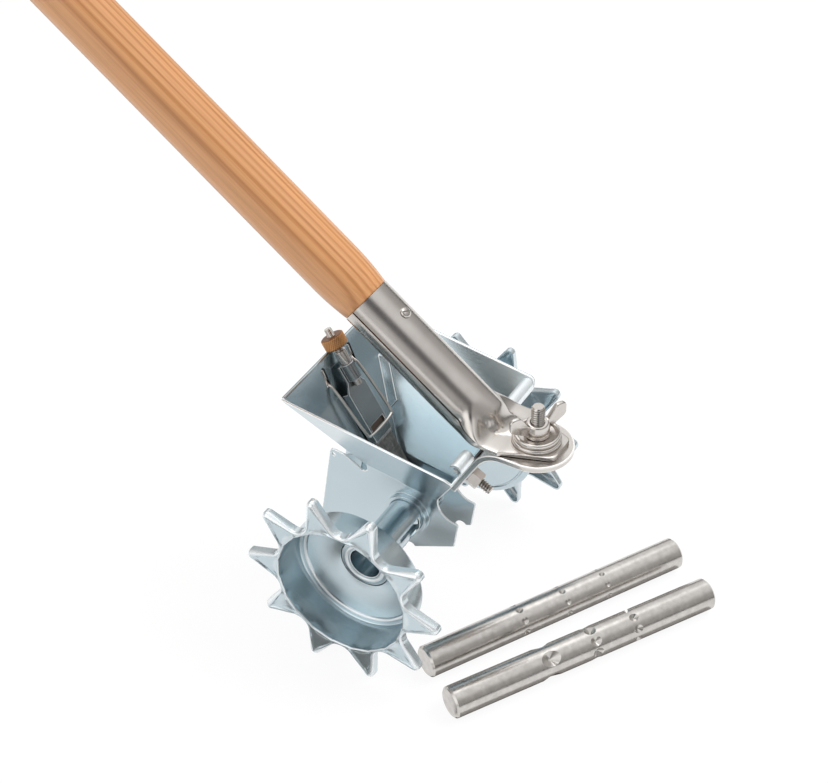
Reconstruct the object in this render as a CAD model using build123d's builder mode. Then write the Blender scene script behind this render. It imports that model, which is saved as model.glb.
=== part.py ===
"""Walk-behind seed planter: a sheet hopper over a furrow boot, on two toothed pan wheels, with a pole handle.

The origin is the middle of the axle, X runs towards the handle bracket, Y along the axle, Z up. The wheels
stand on two teeth each and the hopper is pitched about the axle until the boot's toe is near the ground.
All sizes are in millimetres and degrees.
"""

import os
from math import acos, atan, atan2, cos, degrees, hypot, radians, sin

from build123d import *

# Stance: how far the hopper's rim is pitched about the axle, its brush side up
STANCE = 8.0
GROUND = -63.1

# Hopper and boot sheet
SHEET = 1.5
SHEET_BEND = 3.0
SHEET_GAP = 0.15
BOOT_GAP = 20.6
FOLD_HEIGHT = 21.0
RIM_HEIGHT = 85.0
RIM_HALF_WIDTH = 55.0
RIM_NOSE = 73.3
RIM_BACK = 42.3
RIM_CORNER = 5.0
FOLD_NOSE = 35.3
FOLD_BACK = 17.5
CHEEK_NOSE = 59.0
CHEEK_BACK = 33.5
HEEL_DEPTH = 10.5
TOE_DEPTH = 69.0
TOE_RADIUS = 5.0
HORN_HEIGHT = 20.0
HORN_LENGTH = 10.0
HORN_RADIUS = 3.0
HORN_HOLE_RADIUS = 1.1
HORN_HOLE_INSET = 3.0
RELIEF_RADIUS = 3.2
BACK_NOTCH_RADIUS = 12.5
BITE_RADIUS = 3.5
BITE_NEAR = 5.0
BITE_FAR = 27.0
CORNER_RADIUS = 1.5
HEM_WIDTH = 7.0
HEM_ROUND = 1.3
BEND_DROP = 23.0
FLOOR_CLEARANCE = 1.5
FLOOR_RISE = 5.4
ROLL_RADIUS = 4.5
ROLL_DROP = 7.0
ROLL_NEAR_STOP = 9.0
ROLL_GAP = 48.0
WALL_FOOT = 3.5
TAB_LENGTH = 31.0
TAB_WIDTH = 7.0
TAB_CORNER = 3.0
NOSE_APEX = 57.0
NOSE_WIDTH = 10.0
NOSE_TOP = 6.0
NOSE_LIFT = 3.0

# Axle, sleeves and bearings
ROD_RADIUS = 10.0
ROD_LENGTH = 185.0
ROD_CLEARANCE = 0.1
SLEEVE_WALL = 1.5
BEARING_CLEARANCE = 0.05
COLLAR_WALL = 2.4
COLLAR_LENGTH = 4.0
JOURNAL_INSET = 0.6
WINDOW_DIRECTION = -24.0
WINDOW_START = 18.5
WINDOW_LENGTH = 22.0
WINDOW_WIDTH = 10.0
TONGUE_LENGTH = 10.0
TONGUE_WIDTH = 5.0

# Toothed pan wheels
TOOTH_COUNT = 10
TOOTH_PLANE = 93.4
TOOTH_TIP = 65.0
TOOTH_TIP_ROUND = 4.2
TOOTH_DEPTH = 6.0
SCALLOP_BOTTOM = 44.4
SCALLOP_ROUND = 7.5
PAN_SHEET = 1.4
PAN_RADIUS = 43.4
PAN_DEPTH = 24.4
HUB_FACE = 64.4
HUB_RADIUS = 17.0
HUB_COLLAR_RADIUS = 16.0
HUB_COLLAR_LENGTH = 2.5
HUB_GAP = 0.05
NEAR_PHASE = 143.2
FAR_PHASE = 112.0

# Handle bracket and its fixings
STRAP = 4.0
STRAP_WIDTH = 44.0
STRAP_BEND = 16.0
STRAP_DROP = 39.0
PLATE_LIFT = 1.218
PIVOT_REACH = 24.284
FIXING_DROP = 25.5
FIXING_SPREAD = 15.0
FIXING_RADIUS = 3.0
FIXING_CLEARANCE = 0.4
FIXING_HEAD = 4.0
FIXING_END = 15.5
FIXING_ACROSS_FLATS = 10.0
FIXING_NUT = 7.5

# Handle joint
PIVOT_RADIUS = 4.0
PIVOT_CLEARANCE = 0.4
PIVOT_HEAD_RADIUS = 8.0
PIVOT_HEAD = 4.0
PIVOT_RISE = 27.5
SLIP_GAP = 0.15
THREAD_GAP = 0.05
TONGUE_SHEET = 3.0
TONGUE_NOSE = 16.5
TONGUE_END_WIDTH = 21.0
TONGUE_ROOT = 25.0
TONGUE_SHOULDER = 17.0
TONGUE_HALF = 22.0
CLAMP_WASHER_RADIUS = 14.5
CLAMP_WASHER = 2.4
CUP_WASHER_RADIUS = 13.6
CUP_WASHER = 3.4
CUP_FLOOR = 1.6
CUP_RIM = 2.2
WING_BASE_RADIUS = 7.6
WING_BASE = 9.0
WING_SPAN = 19.0
WING_SHEET = 3.6
WING_RISE = 17.0
WING_ROUND = 5.0
WING_DIRECTION = 60.0

# Handle socket and pole
HANDLE_RISE = 36.4
SOCKET_KNEE = 32.5
SOCKET_LENGTH = 100.0
SOCKET_RADIUS = 15.9
SOCKET_SHEET = 1.6
SOCKET_BLEND = 27.0
NECK_SPREAD = 24.0
SEAM_DIRECTION = 85.0
SEAM_WIDTH = 1.6
POLE_RADIUS = 17.5
POLE_LENGTH = 1300.0
POLE_SHOULDER = 26.0
POLE_SHOULDER_RADIUS = 15.6
POLE_CLEARANCE = 0.1
POLE_DEPTH = 58.0
POLE_END_ROUND = 6.0
SCREW_INSET = 21.0
SCREW_HEAD_RADIUS = 3.4
SCREW_HEAD = 2.2
SCREW_SHANK_RADIUS = 1.9
SCREW_LENGTH = 16.0
SCREW_SLOT = 0.8

# Brush, on a line through the axle's middle that passes close to the rim; the upper heights run from the rim
BRUSH_TURN = 0.27
BRUSH_HALF_WIDTH = 9.0
BRISTLE_TIP = 12.8
BRISTLE_ROOT = 47.0
BRISTLE_COLUMNS = 34
BRISTLE_ROWS = 9
BRISTLE_SIZE = 0.17
BRISTLE_SIDES = 3
BRISTLE_SPREAD = 16.8
BRISTLE_DEPTH = 3.0
BRISTLE_SLICE = 1.5
BACK_END = 60.0
BACK_LOW = -2.6
CARRIER_FOOT = 49.0
CARRIER_SLOT = 55.5
CARRIER_SLOT_LENGTH = 4.0
CARRIER_SLOT_WIDTH = 14.0
CARRIER_SHOULDER_DROP = 28.24
CARRIER_TOP_DROP = 11.24
CARRIER_NECK = 10.0
CARRIER_FLANGE = 4.0
CARRIER_TUBE_LENGTH = 11.0
STUD_HEIGHT = 6.0
STUD_RADIUS = 2.5
STUD_DROP = 26.24
STUD_RISE = 13.26
TUBE_WALL = 1.5
STUD_CLEARANCE = 0.1
SPACER_RADIUS = 3.8
SPACER_LENGTH = 8.8
KNOB_LIFT = 0.56
KNOB_LENGTH = 7.6
KNOB_RADIUS = 7.4
KNOB_GROOVES = 24
KNOB_GROOVE_RADIUS = 0.5

# Wire bail over the brush carrier
WIRE_RADIUS = 1.0
WIRE_SIDES = 8
WIRE_BEND = 2.6
BAIL_HALF = 14.5
BAIL_DROP = 16.24
BAIL_BAR = 55.0
BAIL_BAR_HEIGHT = 4.7
BAIL_TAIL = 6.0
BAIL_TAIL_GAP = 3.4
SLOT_LENGTH = 13.0
SLOT_WIDTH = 3.0

# Metering rods lying beside the planter
ROD_CHAMFER = 1.2
ROD_RINGS = (0.36, 0.53, 0.69)
FINE_DIMPLE_RADII = (2.5, 2.2, 1.9)
FINE_DIMPLE_COUNTS = (8, 8, 8)
FINE_DIMPLE_TURNS = (3, 3, 3)
COARSE_DIMPLE_RADII = (6.4, 3.8, 3.1)
COARSE_DIMPLE_COUNTS = (4, 8, 8)
COARSE_DIMPLE_TURNS = (35, -5, 15)
PIT_SIDES = 10
PIT_DEPTH = 0.7
FINE_ROD_END = (46.0, -72.3)
FINE_ROD_HEADING = 60.5
COARSE_ROD_END = (74.4, -93.4)
COARSE_ROD_HEADING = 59.1

FORE = Vector(cos(radians(STANCE)), 0, -sin(radians(STANCE)))
RISE = Vector(sin(radians(STANCE)), 0, cos(radians(STANCE)))
ACROSS = Vector(0, 1, 0)
SIDE = Plane(origin=(0, 0, 0), x_dir=FORE, z_dir=-ACROSS)
FRONT = Plane(origin=(0, 0, 0), x_dir=ACROSS, z_dir=FORE)

BOOT_HALF = BOOT_GAP / 2 + SHEET
SLEEVE_BORE = ROD_RADIUS + ROD_CLEARANCE
SLEEVE_RADIUS = SLEEVE_BORE + SLEEVE_WALL
BEARING_RADIUS = SLEEVE_RADIUS + BEARING_CLEARANCE
SPAN = 4 * RIM_HALF_WIDTH


def level(fore, rise):
    """A point of the pitched hopper as upright X and Z."""
    point = FORE * fore + RISE * rise
    return Vector(point.X, point.Z)


# Heights and distances that follow the rim
wall_rim = level(RIM_BACK, RIM_HEIGHT)
PLATE_TOP = wall_rim.Y + PLATE_LIFT
PIVOT_X = wall_rim.X + PIVOT_REACH
PIVOT_TOP = PLATE_TOP + PIVOT_RISE
FIXING_HEIGHT = RIM_HEIGHT - FIXING_DROP
STRAP_FOOT = RIM_HEIGHT - STRAP_DROP
brush_rim = Vector(-RIM_NOSE, RIM_HEIGHT)
brush_pitch = atan2(RIM_HEIGHT, RIM_NOSE) + radians(BRUSH_TURN)
brush_line = Vector(-cos(brush_pitch), sin(brush_pitch))
brush_over = Vector(brush_line.Y, -brush_line.X)
rim_reach = brush_rim.dot(brush_line)
CARRIER_SHOULDER = rim_reach - CARRIER_SHOULDER_DROP
CARRIER_TOP = rim_reach - CARRIER_TOP_DROP
CARRIER_TUBE_FOOT = CARRIER_TOP - CARRIER_TUBE_LENGTH
STUD_FOOT = rim_reach - STUD_DROP
STUD_TIP = rim_reach + STUD_RISE
KNOB_FOOT = rim_reach + KNOB_LIFT

os.makedirs("parts", exist_ok=True)


def keep(part, label):
    """Name a finished part and write it."""
    part.label = label
    export_step(part, f"parts/{label}.step")


def strip(path, thickness):
    """Outline of a sheet's section: an open path thickened to its left, with mitred folds."""
    points = [Vector(*p) for p in path]
    normals = []
    for a, b in zip(points, points[1:]):
        along = (b - a).normalized()
        normals.append(Vector(-along.Y, along.X))
    offset_side = [points[0] + normals[0] * thickness]
    for p, before, after in zip(points[1:], normals, normals[1:]):
        bisector = (before + after).normalized()
        offset_side.append(p + bisector * (thickness / bisector.dot(before)))
    offset_side.append(points[-1] + normals[-1] * thickness)
    return points + offset_side[::-1]


def rounded(section, points, radius):
    """Round the corners of the open sketch that lie nearest to the points."""
    for p in points:
        fillet(section.vertices().sort_by_distance(Vector(*p))[0], radius)


def half_plane(plane):
    """The half plane for a turned profile: x is the radius, y runs along the plane's normal."""
    return Plane(plane.origin, x_dir=plane.x_dir, z_dir=plane.x_dir.cross(plane.z_dir))


def axle_plane(side, y, phase=0.0):
    """A plane square to the axle at y on one side, facing the hopper, its x at the phase angle."""
    turned = radians(phase)
    return Plane(
        origin=(0, side * y, 0), x_dir=(cos(turned), 0, sin(turned)), z_dir=(0, -side, 0)
    )


# Side sheets: the folded section through the axle, trimmed to the outline seen from the side
flare = (RIM_HALF_WIDTH - BOOT_HALF) / (RIM_HEIGHT - FOLD_HEIGHT)
toe = (-CHEEK_NOSE, -TOE_DEPTH)
heel = (CHEEK_BACK, -HEEL_DEPTH)
bottom_slope = (TOE_DEPTH - HEEL_DEPTH) / (CHEEK_BACK + CHEEK_NOSE)
notch_foot = (FOLD_BACK + BACK_NOTCH_RADIUS, FOLD_HEIGHT - BACK_NOTCH_RADIUS)
notch_mid = (
    notch_foot[0] - BACK_NOTCH_RADIUS * cos(radians(45)),
    FOLD_HEIGHT - BACK_NOTCH_RADIUS * sin(radians(45)),
)
horn_corner = (-CHEEK_NOSE, HORN_HEIGHT)

for side, bite, name in ((-1, BITE_NEAR, "near"), (1, BITE_FAR, "far")):
    fold_path = [
        (side * BOOT_HALF, -TOE_DEPTH - SHEET),
        (side * BOOT_HALF, FOLD_HEIGHT),
        (side * (RIM_HALF_WIDTH + SHEET * flare), RIM_HEIGHT + SHEET),
    ]
    with BuildPart() as side_sheet:
        with BuildSketch(FRONT) as section:
            with BuildLine():
                Polyline(*strip(fold_path, side * SHEET), close=True)
            make_face()
            rounded(section, [fold_path[1]], SHEET_BEND)
            rounded(section, [(side * (BOOT_HALF - SHEET), FOLD_HEIGHT)], SHEET_BEND + SHEET)
        extrude(amount=SPAN, both=True)
        with BuildSketch(SIDE) as outline:
            with BuildLine():
                Line((-FOLD_NOSE, FOLD_HEIGHT), (-RIM_NOSE, RIM_HEIGHT))
                Line((-RIM_NOSE, RIM_HEIGHT), (RIM_BACK, RIM_HEIGHT))
                Line((RIM_BACK, RIM_HEIGHT), (FOLD_BACK, FOLD_HEIGHT))
                ThreePointArc((FOLD_BACK, FOLD_HEIGHT), notch_mid, notch_foot)
                Polyline(
                    notch_foot,
                    (CHEEK_BACK, notch_foot[1]),
                    heel,
                    toe,
                    horn_corner,
                    (-CHEEK_NOSE + HORN_LENGTH, HORN_HEIGHT),
                    (-FOLD_NOSE, FOLD_HEIGHT - 2 * RELIEF_RADIUS),
                )
                ThreePointArc(
                    (-FOLD_NOSE, FOLD_HEIGHT - 2 * RELIEF_RADIUS),
                    (-FOLD_NOSE + RELIEF_RADIUS, FOLD_HEIGHT - RELIEF_RADIUS),
                    (-FOLD_NOSE, FOLD_HEIGHT),
                )
            make_face()
            rounded(outline, [toe], TOE_RADIUS)
            rounded(outline, [(RIM_BACK, RIM_HEIGHT)], RIM_CORNER)
            rounded(outline, [horn_corner, (-CHEEK_NOSE + HORN_LENGTH, HORN_HEIGHT)], HORN_RADIUS)
            rounded(outline, [heel, (CHEEK_BACK, notch_foot[1])], CORNER_RADIUS)
            Circle(BEARING_RADIUS, mode=Mode.SUBTRACT)
            horn_hole_drop = HORN_HOLE_INSET + HORN_HOLE_RADIUS
            with Locations((-CHEEK_NOSE + HORN_HOLE_INSET, HORN_HEIGHT - horn_hole_drop)):
                Circle(HORN_HOLE_RADIUS, mode=Mode.SUBTRACT)
            with Locations((bite, -HEEL_DEPTH - (CHEEK_BACK - bite) * bottom_slope)):
                Circle(BITE_RADIUS, mode=Mode.SUBTRACT)
        extrude(amount=SPAN, both=True, mode=Mode.INTERSECT)
        with BuildSketch(axle_plane(side, BOOT_HALF)):
            Circle(BEARING_RADIUS + COLLAR_WALL)
            Circle(BEARING_RADIUS, mode=Mode.SUBTRACT)
        extrude(amount=-COLLAR_LENGTH)
    keep(side_sheet.part, f"side_sheet_{name}")

# The hopper's inner section seen from the front, which both end walls are cut to
inner_half = BOOT_GAP / 2 - SHEET_GAP
fold_lean = hypot(1, flare)
inner_fold = FOLD_HEIGHT + (fold_lean - 1) * (SHEET + SHEET_GAP) / flare
inner_rim = BOOT_HALF - (SHEET + SHEET_GAP) * fold_lean + (RIM_HEIGHT + SPAN - FOLD_HEIGHT) * flare
INNER_SECTION = [
    (-inner_half, -SPAN),
    (inner_half, -SPAN),
    (inner_half, inner_fold),
    (inner_rim, RIM_HEIGHT + SPAN),
    (-inner_rim, RIM_HEIGHT + SPAN),
    (-inner_half, inner_fold),
]

# Brush wall: a hem folded outwards along the rim, a short upper wall, then one plate down to the metering rod
brush_lean = (RIM_NOSE - FOLD_NOSE) / (RIM_HEIGHT - FOLD_HEIGHT)
brush_knee = Vector(-RIM_NOSE + BEND_DROP * brush_lean, RIM_HEIGHT - BEND_DROP)
floor_reach = ROD_RADIUS + FLOOR_CLEARANCE
floor_end = Vector(-(floor_reach**2 - FLOOR_RISE**2) ** 0.5, FLOOR_RISE)
brush_up = Vector(-brush_lean, 1).normalized()
brush_in = Vector(brush_up.Y, -brush_up.X)
hem_foot = brush_rim - brush_up * HEM_WIDTH
brush_wall_plane = Plane(
    origin=FORE * brush_rim.X + RISE * brush_rim.Y,
    x_dir=ACROSS,
    z_dir=FORE * brush_in.X + RISE * brush_in.Y,
)
slot_foot = -BAIL_DROP
slot_rise = slot_foot + (SLOT_LENGTH - SLOT_WIDTH) / 2

# Weld tabs folded from the edges of the brush wall's plate, lying on the side sheets
plate_up = (brush_knee - floor_end).normalized()
plate_in = Vector(plate_up.Y, -plate_up.X)
tab_foot = brush_knee - plate_up * TAB_LENGTH
tab_inset = SHEET * fold_lean
with BuildPart() as weld_tabs:
    with BuildSketch(SIDE):
        with BuildLine():
            Polyline(
                brush_knee,
                tab_foot,
                tab_foot + plate_in * TAB_WIDTH + plate_up * TAB_CORNER,
                brush_knee + plate_in * TAB_WIDTH - plate_up * TAB_CORNER,
                close=True,
            )
        make_face()
    extrude(amount=SPAN, both=True)
    with BuildSketch(FRONT):
        for hand in (-1, 1):
            with BuildLine():
                Polyline(
                    (hand * inner_half, inner_fold),
                    (hand * inner_rim, RIM_HEIGHT + SPAN),
                    (hand * (inner_rim - tab_inset), RIM_HEIGHT + SPAN),
                    (hand * (inner_half - tab_inset), inner_fold),
                    close=True,
                )
            make_face()
    extrude(amount=SPAN, both=True, mode=Mode.INTERSECT)

with BuildPart() as brush_wall:
    with BuildSketch(SIDE) as section:
        with BuildLine():
            Polyline(*strip([brush_rim, brush_knee, floor_end], SHEET), close=True)
        make_face()
        rounded(section, [brush_knee], SHEET_BEND)
        with BuildLine():
            Polyline(*strip([hem_foot, brush_rim], SHEET), close=True)
        make_face()
        hem_corner = brush_rim - brush_in * SHEET
        wall_corner = brush_rim + brush_in * SHEET
        rounded(section, [hem_corner, wall_corner], HEM_ROUND)
    extrude(amount=SPAN, both=True)
    with BuildSketch(FRONT):
        with BuildLine():
            Polyline(*INNER_SECTION, close=True)
        make_face()
    extrude(amount=SPAN, both=True, mode=Mode.INTERSECT)
    with BuildSketch(brush_wall_plane):
        with Locations((-BAIL_HALF, slot_rise), (BAIL_HALF, slot_rise)):
            SlotOverall(SLOT_LENGTH, SLOT_WIDTH, rotation=90)
    extrude(amount=2 * HEM_WIDTH, both=True, mode=Mode.SUBTRACT)
    add(weld_tabs.part)
keep(brush_wall.part, "brush_wall")

# Bracket wall: straight to the rim, its top rolled inwards on both sides of the bracket
back_lean = (RIM_BACK - FOLD_BACK) / (RIM_HEIGHT - FOLD_HEIGHT)
back_foot = (FOLD_BACK - (FOLD_HEIGHT - WALL_FOOT) * back_lean, WALL_FOOT)
roll_start = (RIM_BACK - ROLL_DROP * back_lean, RIM_HEIGHT - ROLL_DROP)
back_up = Vector(back_lean, 1).normalized()
back_out = Vector(back_up.Y, -back_up.X)
roll_centre = Vector(*roll_start) - back_out * ROLL_RADIUS
roll_lean = degrees(atan(back_lean))
roll_stop = inner_rim - (SPAN + ROLL_DROP) * flare - ROLL_NEAR_STOP
back_plane = Plane(
    origin=FORE * (FOLD_BACK + (FIXING_HEIGHT - FOLD_HEIGHT) * back_lean) + RISE * FIXING_HEIGHT,
    x_dir=ACROSS,
    z_dir=FORE * back_out.X + RISE * back_out.Y,
)
FIXINGS = ((-FIXING_SPREAD, 0), (FIXING_SPREAD, 0))
fixing_bore = FIXING_RADIUS + FIXING_CLEARANCE

with BuildPart() as bracket_wall:
    with BuildSketch(SIDE):
        with BuildLine():
            Polyline(*strip([back_foot, roll_start], SHEET), close=True)
        make_face()
    extrude(amount=SPAN, both=True)
    for start, length in ((ROLL_GAP / 2, roll_stop - ROLL_GAP / 2), (-SPAN, SPAN - ROLL_GAP / 2)):
        with BuildSketch(SIDE.offset(start)):
            with Locations((roll_centre.X, roll_centre.Y)):
                Circle(ROLL_RADIUS)
                Circle(ROLL_RADIUS - SHEET, mode=Mode.SUBTRACT)
                Rectangle(
                    3 * ROLL_RADIUS,
                    3 * ROLL_RADIUS,
                    rotation=-roll_lean,
                    align=(Align.CENTER, Align.MAX),
                    mode=Mode.SUBTRACT,
                )
        extrude(amount=length)
    with BuildSketch(FRONT):
        with BuildLine():
            Polyline(*INNER_SECTION, close=True)
        make_face()
    extrude(amount=SPAN, both=True, mode=Mode.INTERSECT)
    with BuildSketch(back_plane):
        with Locations(*FIXINGS):
            Circle(fixing_bore)
    extrude(amount=2 * SHEET, both=True, mode=Mode.SUBTRACT)
keep(bracket_wall.part, "bracket_wall")

# Furrow nose: a V plate between the cheeks, trimmed to run just above their bottom edge
nose_back = -NOSE_APEX + NOSE_WIDTH
nose_path = [(nose_back, -inner_half), (-NOSE_APEX, 0), (nose_back, inner_half)]
nose_foot = -HEEL_DEPTH - (CHEEK_BACK + CHEEK_NOSE) * bottom_slope + NOSE_LIFT
with BuildPart() as furrow_nose:
    with BuildSketch(Plane(origin=(0, 0, 0), x_dir=FORE, z_dir=RISE)) as section:
        with BuildLine():
            Polyline(*strip(nose_path, -SHEET), close=True)
        make_face()
        rounded(section, [nose_path[1]], SHEET_BEND)
    extrude(amount=SPAN, both=True)
    with BuildSketch(SIDE):
        with BuildLine():
            Polyline(
                (-CHEEK_NOSE, nose_foot),
                (CHEEK_BACK, -HEEL_DEPTH + NOSE_LIFT),
                (CHEEK_BACK, NOSE_TOP),
                (-CHEEK_NOSE, NOSE_TOP),
                close=True,
            )
        make_face()
    extrude(amount=SPAN, both=True, mode=Mode.INTERSECT)
keep(furrow_nose.part, "furrow_nose")


def star(tip_round, scallop_round):
    """Outline of the toothed ring: tooth tips and scallops as arcs, joined by their common tangents."""
    pitch = 360 / TOOTH_COUNT
    tip_centre = Vector(TOOTH_TIP - TOOTH_TIP_ROUND, 0)
    scallop_centre = Vector(SCALLOP_BOTTOM + SCALLOP_ROUND, 0).rotate(Axis.Z, pitch / 2)
    toward = tip_centre - scallop_centre
    turn = acos((tip_round + scallop_round) / toward.length)
    normal = toward.normalized().rotate(Axis.Z, -degrees(turn))
    flank_foot = scallop_centre + normal * scallop_round
    flank_head = tip_centre - normal * tip_round
    tip = tip_centre + Vector(tip_round, 0)
    bottom = scallop_centre.normalized() * (scallop_centre.length - scallop_round)
    flank_foot_before = Vector(flank_foot.X, -flank_foot.Y)
    flank_head_before = Vector(flank_head.X, -flank_head.Y)
    for tooth in range(TOOTH_COUNT):
        angle = tooth * pitch
        foot_before = flank_foot_before.rotate(Axis.Z, angle)
        head_before = flank_head_before.rotate(Axis.Z, angle)
        head_after = flank_head.rotate(Axis.Z, angle)
        foot_after = flank_foot.rotate(Axis.Z, angle)
        next_foot = flank_foot_before.rotate(Axis.Z, angle + pitch)
        Line(foot_before, head_before)
        ThreePointArc(head_before, tip.rotate(Axis.Z, angle), head_after)
        Line(head_after, foot_after)
        ThreePointArc(foot_after, bottom.rotate(Axis.Z, angle), next_foot)


# Wheels: a dished pan turned about the axle, with a ring of hollow teeth round its mouth
pan_inner = PAN_RADIUS - PAN_SHEET
pan_floor = PAN_DEPTH - PAN_SHEET
hub_bore = SLEEVE_RADIUS + HUB_GAP
hub_floor = TOOTH_PLANE - HUB_FACE + HUB_COLLAR_LENGTH
sleeve_length = HUB_FACE - BOOT_GAP / 2 - JOURNAL_INSET

for side, phase, name in ((-1, NEAR_PHASE, "near"), (1, FAR_PHASE, "far")):
    tooth_plane = axle_plane(side, TOOTH_PLANE, phase)
    axle = Axis(tooth_plane.origin, tooth_plane.z_dir)
    with BuildPart() as wheel:
        with BuildSketch(tooth_plane):
            with BuildLine():
                star(TOOTH_TIP_ROUND, SCALLOP_ROUND)
            make_face()
        extrude(amount=TOOTH_DEPTH)
        with BuildSketch(tooth_plane.offset(PAN_SHEET)):
            with BuildLine():
                star(TOOTH_TIP_ROUND - PAN_SHEET, SCALLOP_ROUND + PAN_SHEET)
            make_face()
        extrude(amount=TOOTH_DEPTH, mode=Mode.SUBTRACT)
        with BuildSketch(tooth_plane):
            Circle(PAN_RADIUS)
        extrude(amount=TOOTH_DEPTH, mode=Mode.SUBTRACT)
        with BuildSketch(half_plane(tooth_plane)):
            with BuildLine():
                Polyline(
                    (PAN_RADIUS, 0),
                    (pan_inner, 0),
                    (pan_inner, pan_floor),
                    (HUB_RADIUS, hub_floor),
                    (hub_bore, hub_floor),
                    (hub_bore, hub_floor + PAN_SHEET),
                    (HUB_RADIUS, hub_floor + PAN_SHEET),
                    (PAN_RADIUS, PAN_DEPTH),
                    close=True,
                )
            make_face()
        revolve(axis=axle)
    keep(wheel.part, f"wheel_{name}")

    with BuildPart() as sleeve:
        with BuildSketch(axle_plane(side, HUB_FACE)):
            Circle(HUB_COLLAR_RADIUS)
        extrude(amount=HUB_COLLAR_LENGTH)
        with BuildSketch(axle_plane(side, HUB_FACE)):
            Circle(SLEEVE_RADIUS)
        extrude(amount=sleeve_length)
        with BuildSketch(axle_plane(side, HUB_FACE)):
            Circle(SLEEVE_BORE)
        extrude(amount=sleeve_length, mode=Mode.SUBTRACT)
        window_turn = radians(WINDOW_DIRECTION)
        window_mid = WINDOW_START + WINDOW_LENGTH / 2
        with BuildSketch(
            Plane(
                origin=(0, side * window_mid, 0),
                x_dir=(0, side, 0),
                z_dir=(cos(window_turn), 0, sin(window_turn)),
            )
        ):
            Rectangle(WINDOW_LENGTH, WINDOW_WIDTH)
            with Locations((WINDOW_LENGTH / 2, 0)):
                Rectangle(2 * TONGUE_LENGTH, TONGUE_WIDTH, mode=Mode.SUBTRACT)
        extrude(amount=2 * SLEEVE_RADIUS, mode=Mode.SUBTRACT)
    keep(sleeve.part, f"sleeve_{name}")

# Handle bracket: up the bracket wall and over to a level plate with a round end
wall_foot = level(FOLD_BACK + (STRAP_FOOT - FOLD_HEIGHT) * back_lean, STRAP_FOOT)
wall_run = wall_rim - wall_foot
strap_knee = wall_foot + wall_run * ((PLATE_TOP - wall_foot.Y) / wall_run.Y)
strap_path = [wall_foot, strap_knee, (PIVOT_X + STRAP_WIDTH, PLATE_TOP)]
strap_outline = strip(strap_path, -STRAP)
pivot_bore = PIVOT_RADIUS + PIVOT_CLEARANCE

with BuildPart() as handle_bracket:
    with BuildSketch(Plane.XZ) as section:
        with BuildLine():
            Polyline(*strap_outline, close=True)
        make_face()
        rounded(section, [strap_outline[4]], STRAP_BEND)
        rounded(section, [strap_knee], STRAP_BEND + STRAP)
    extrude(amount=STRAP_WIDTH, both=True)
    with BuildSketch(Plane.XY):
        Rectangle(PIVOT_X, STRAP_WIDTH, align=(Align.MIN, Align.CENTER))
        with Locations((PIVOT_X, 0)):
            Circle(STRAP_WIDTH / 2)
            Circle(pivot_bore, mode=Mode.SUBTRACT)
    extrude(amount=2 * PLATE_TOP, mode=Mode.INTERSECT)
    with BuildSketch(back_plane):
        with Locations(*FIXINGS):
            Circle(fixing_bore)
    extrude(amount=2 * STRAP, both=True, mode=Mode.SUBTRACT)
keep(handle_bracket.part, "handle_bracket")

# Bracket fixings: hexagon bolts from inside the hopper, nuts outside
flat_radius = FIXING_ACROSS_FLATS / 2
with BuildPart() as bracket_bolts:
    with BuildSketch(back_plane.offset(-SHEET - FIXING_HEAD)):
        with Locations(*FIXINGS):
            RegularPolygon(flat_radius, 6, major_radius=False)
    extrude(amount=FIXING_HEAD)
    with BuildSketch(back_plane.offset(-SHEET)):
        with Locations(*FIXINGS):
            Circle(FIXING_RADIUS)
    extrude(amount=SHEET + STRAP + FIXING_END)
keep(bracket_bolts.part, "bracket_bolts")

with BuildPart() as bracket_nuts:
    with BuildSketch(back_plane.offset(STRAP)):
        with Locations(*FIXINGS):
            RegularPolygon(flat_radius, 6, major_radius=False)
            Circle(FIXING_RADIUS + THREAD_GAP, mode=Mode.SUBTRACT)
    extrude(amount=FIXING_NUT)
keep(bracket_nuts.part, "bracket_nuts")

# Handle joint: bolt up through the plate, tongue, two washers and a wing nut
plate_foot = PLATE_TOP - STRAP
tongue_foot = PLATE_TOP + SLIP_GAP
washer_foot = tongue_foot + TONGUE_SHEET
cup_foot = washer_foot + CLAMP_WASHER
nut_foot = cup_foot + CUP_FLOOR + SLIP_GAP


def pivot_plane(height):
    """A level plane centred on the handle's pivot."""
    return Plane(origin=(PIVOT_X, 0, height), x_dir=(1, 0, 0), z_dir=(0, 0, 1))


with BuildPart() as pivot_bolt:
    with BuildSketch(pivot_plane(plate_foot - PIVOT_HEAD)):
        Circle(PIVOT_HEAD_RADIUS)
    extrude(amount=PIVOT_HEAD)
    with BuildSketch(pivot_plane(plate_foot)):
        Circle(PIVOT_RADIUS)
    extrude(amount=PIVOT_TOP - plate_foot)
keep(pivot_bolt.part, "pivot_bolt")

with BuildPart() as clamp_washer:
    with BuildSketch(pivot_plane(washer_foot)):
        Circle(CLAMP_WASHER_RADIUS)
        Circle(pivot_bore, mode=Mode.SUBTRACT)
    extrude(amount=CLAMP_WASHER)
keep(clamp_washer.part, "clamp_washer")

with BuildPart() as cup_washer:
    with BuildSketch(pivot_plane(cup_foot)):
        Circle(CUP_WASHER_RADIUS)
        Circle(pivot_bore, mode=Mode.SUBTRACT)
    extrude(amount=CUP_WASHER)
    with BuildSketch(pivot_plane(cup_foot + CUP_FLOOR)):
        Circle(CUP_WASHER_RADIUS - CUP_RIM)
    extrude(amount=CUP_WASHER, mode=Mode.SUBTRACT)
keep(cup_washer.part, "cup_washer")

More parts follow.
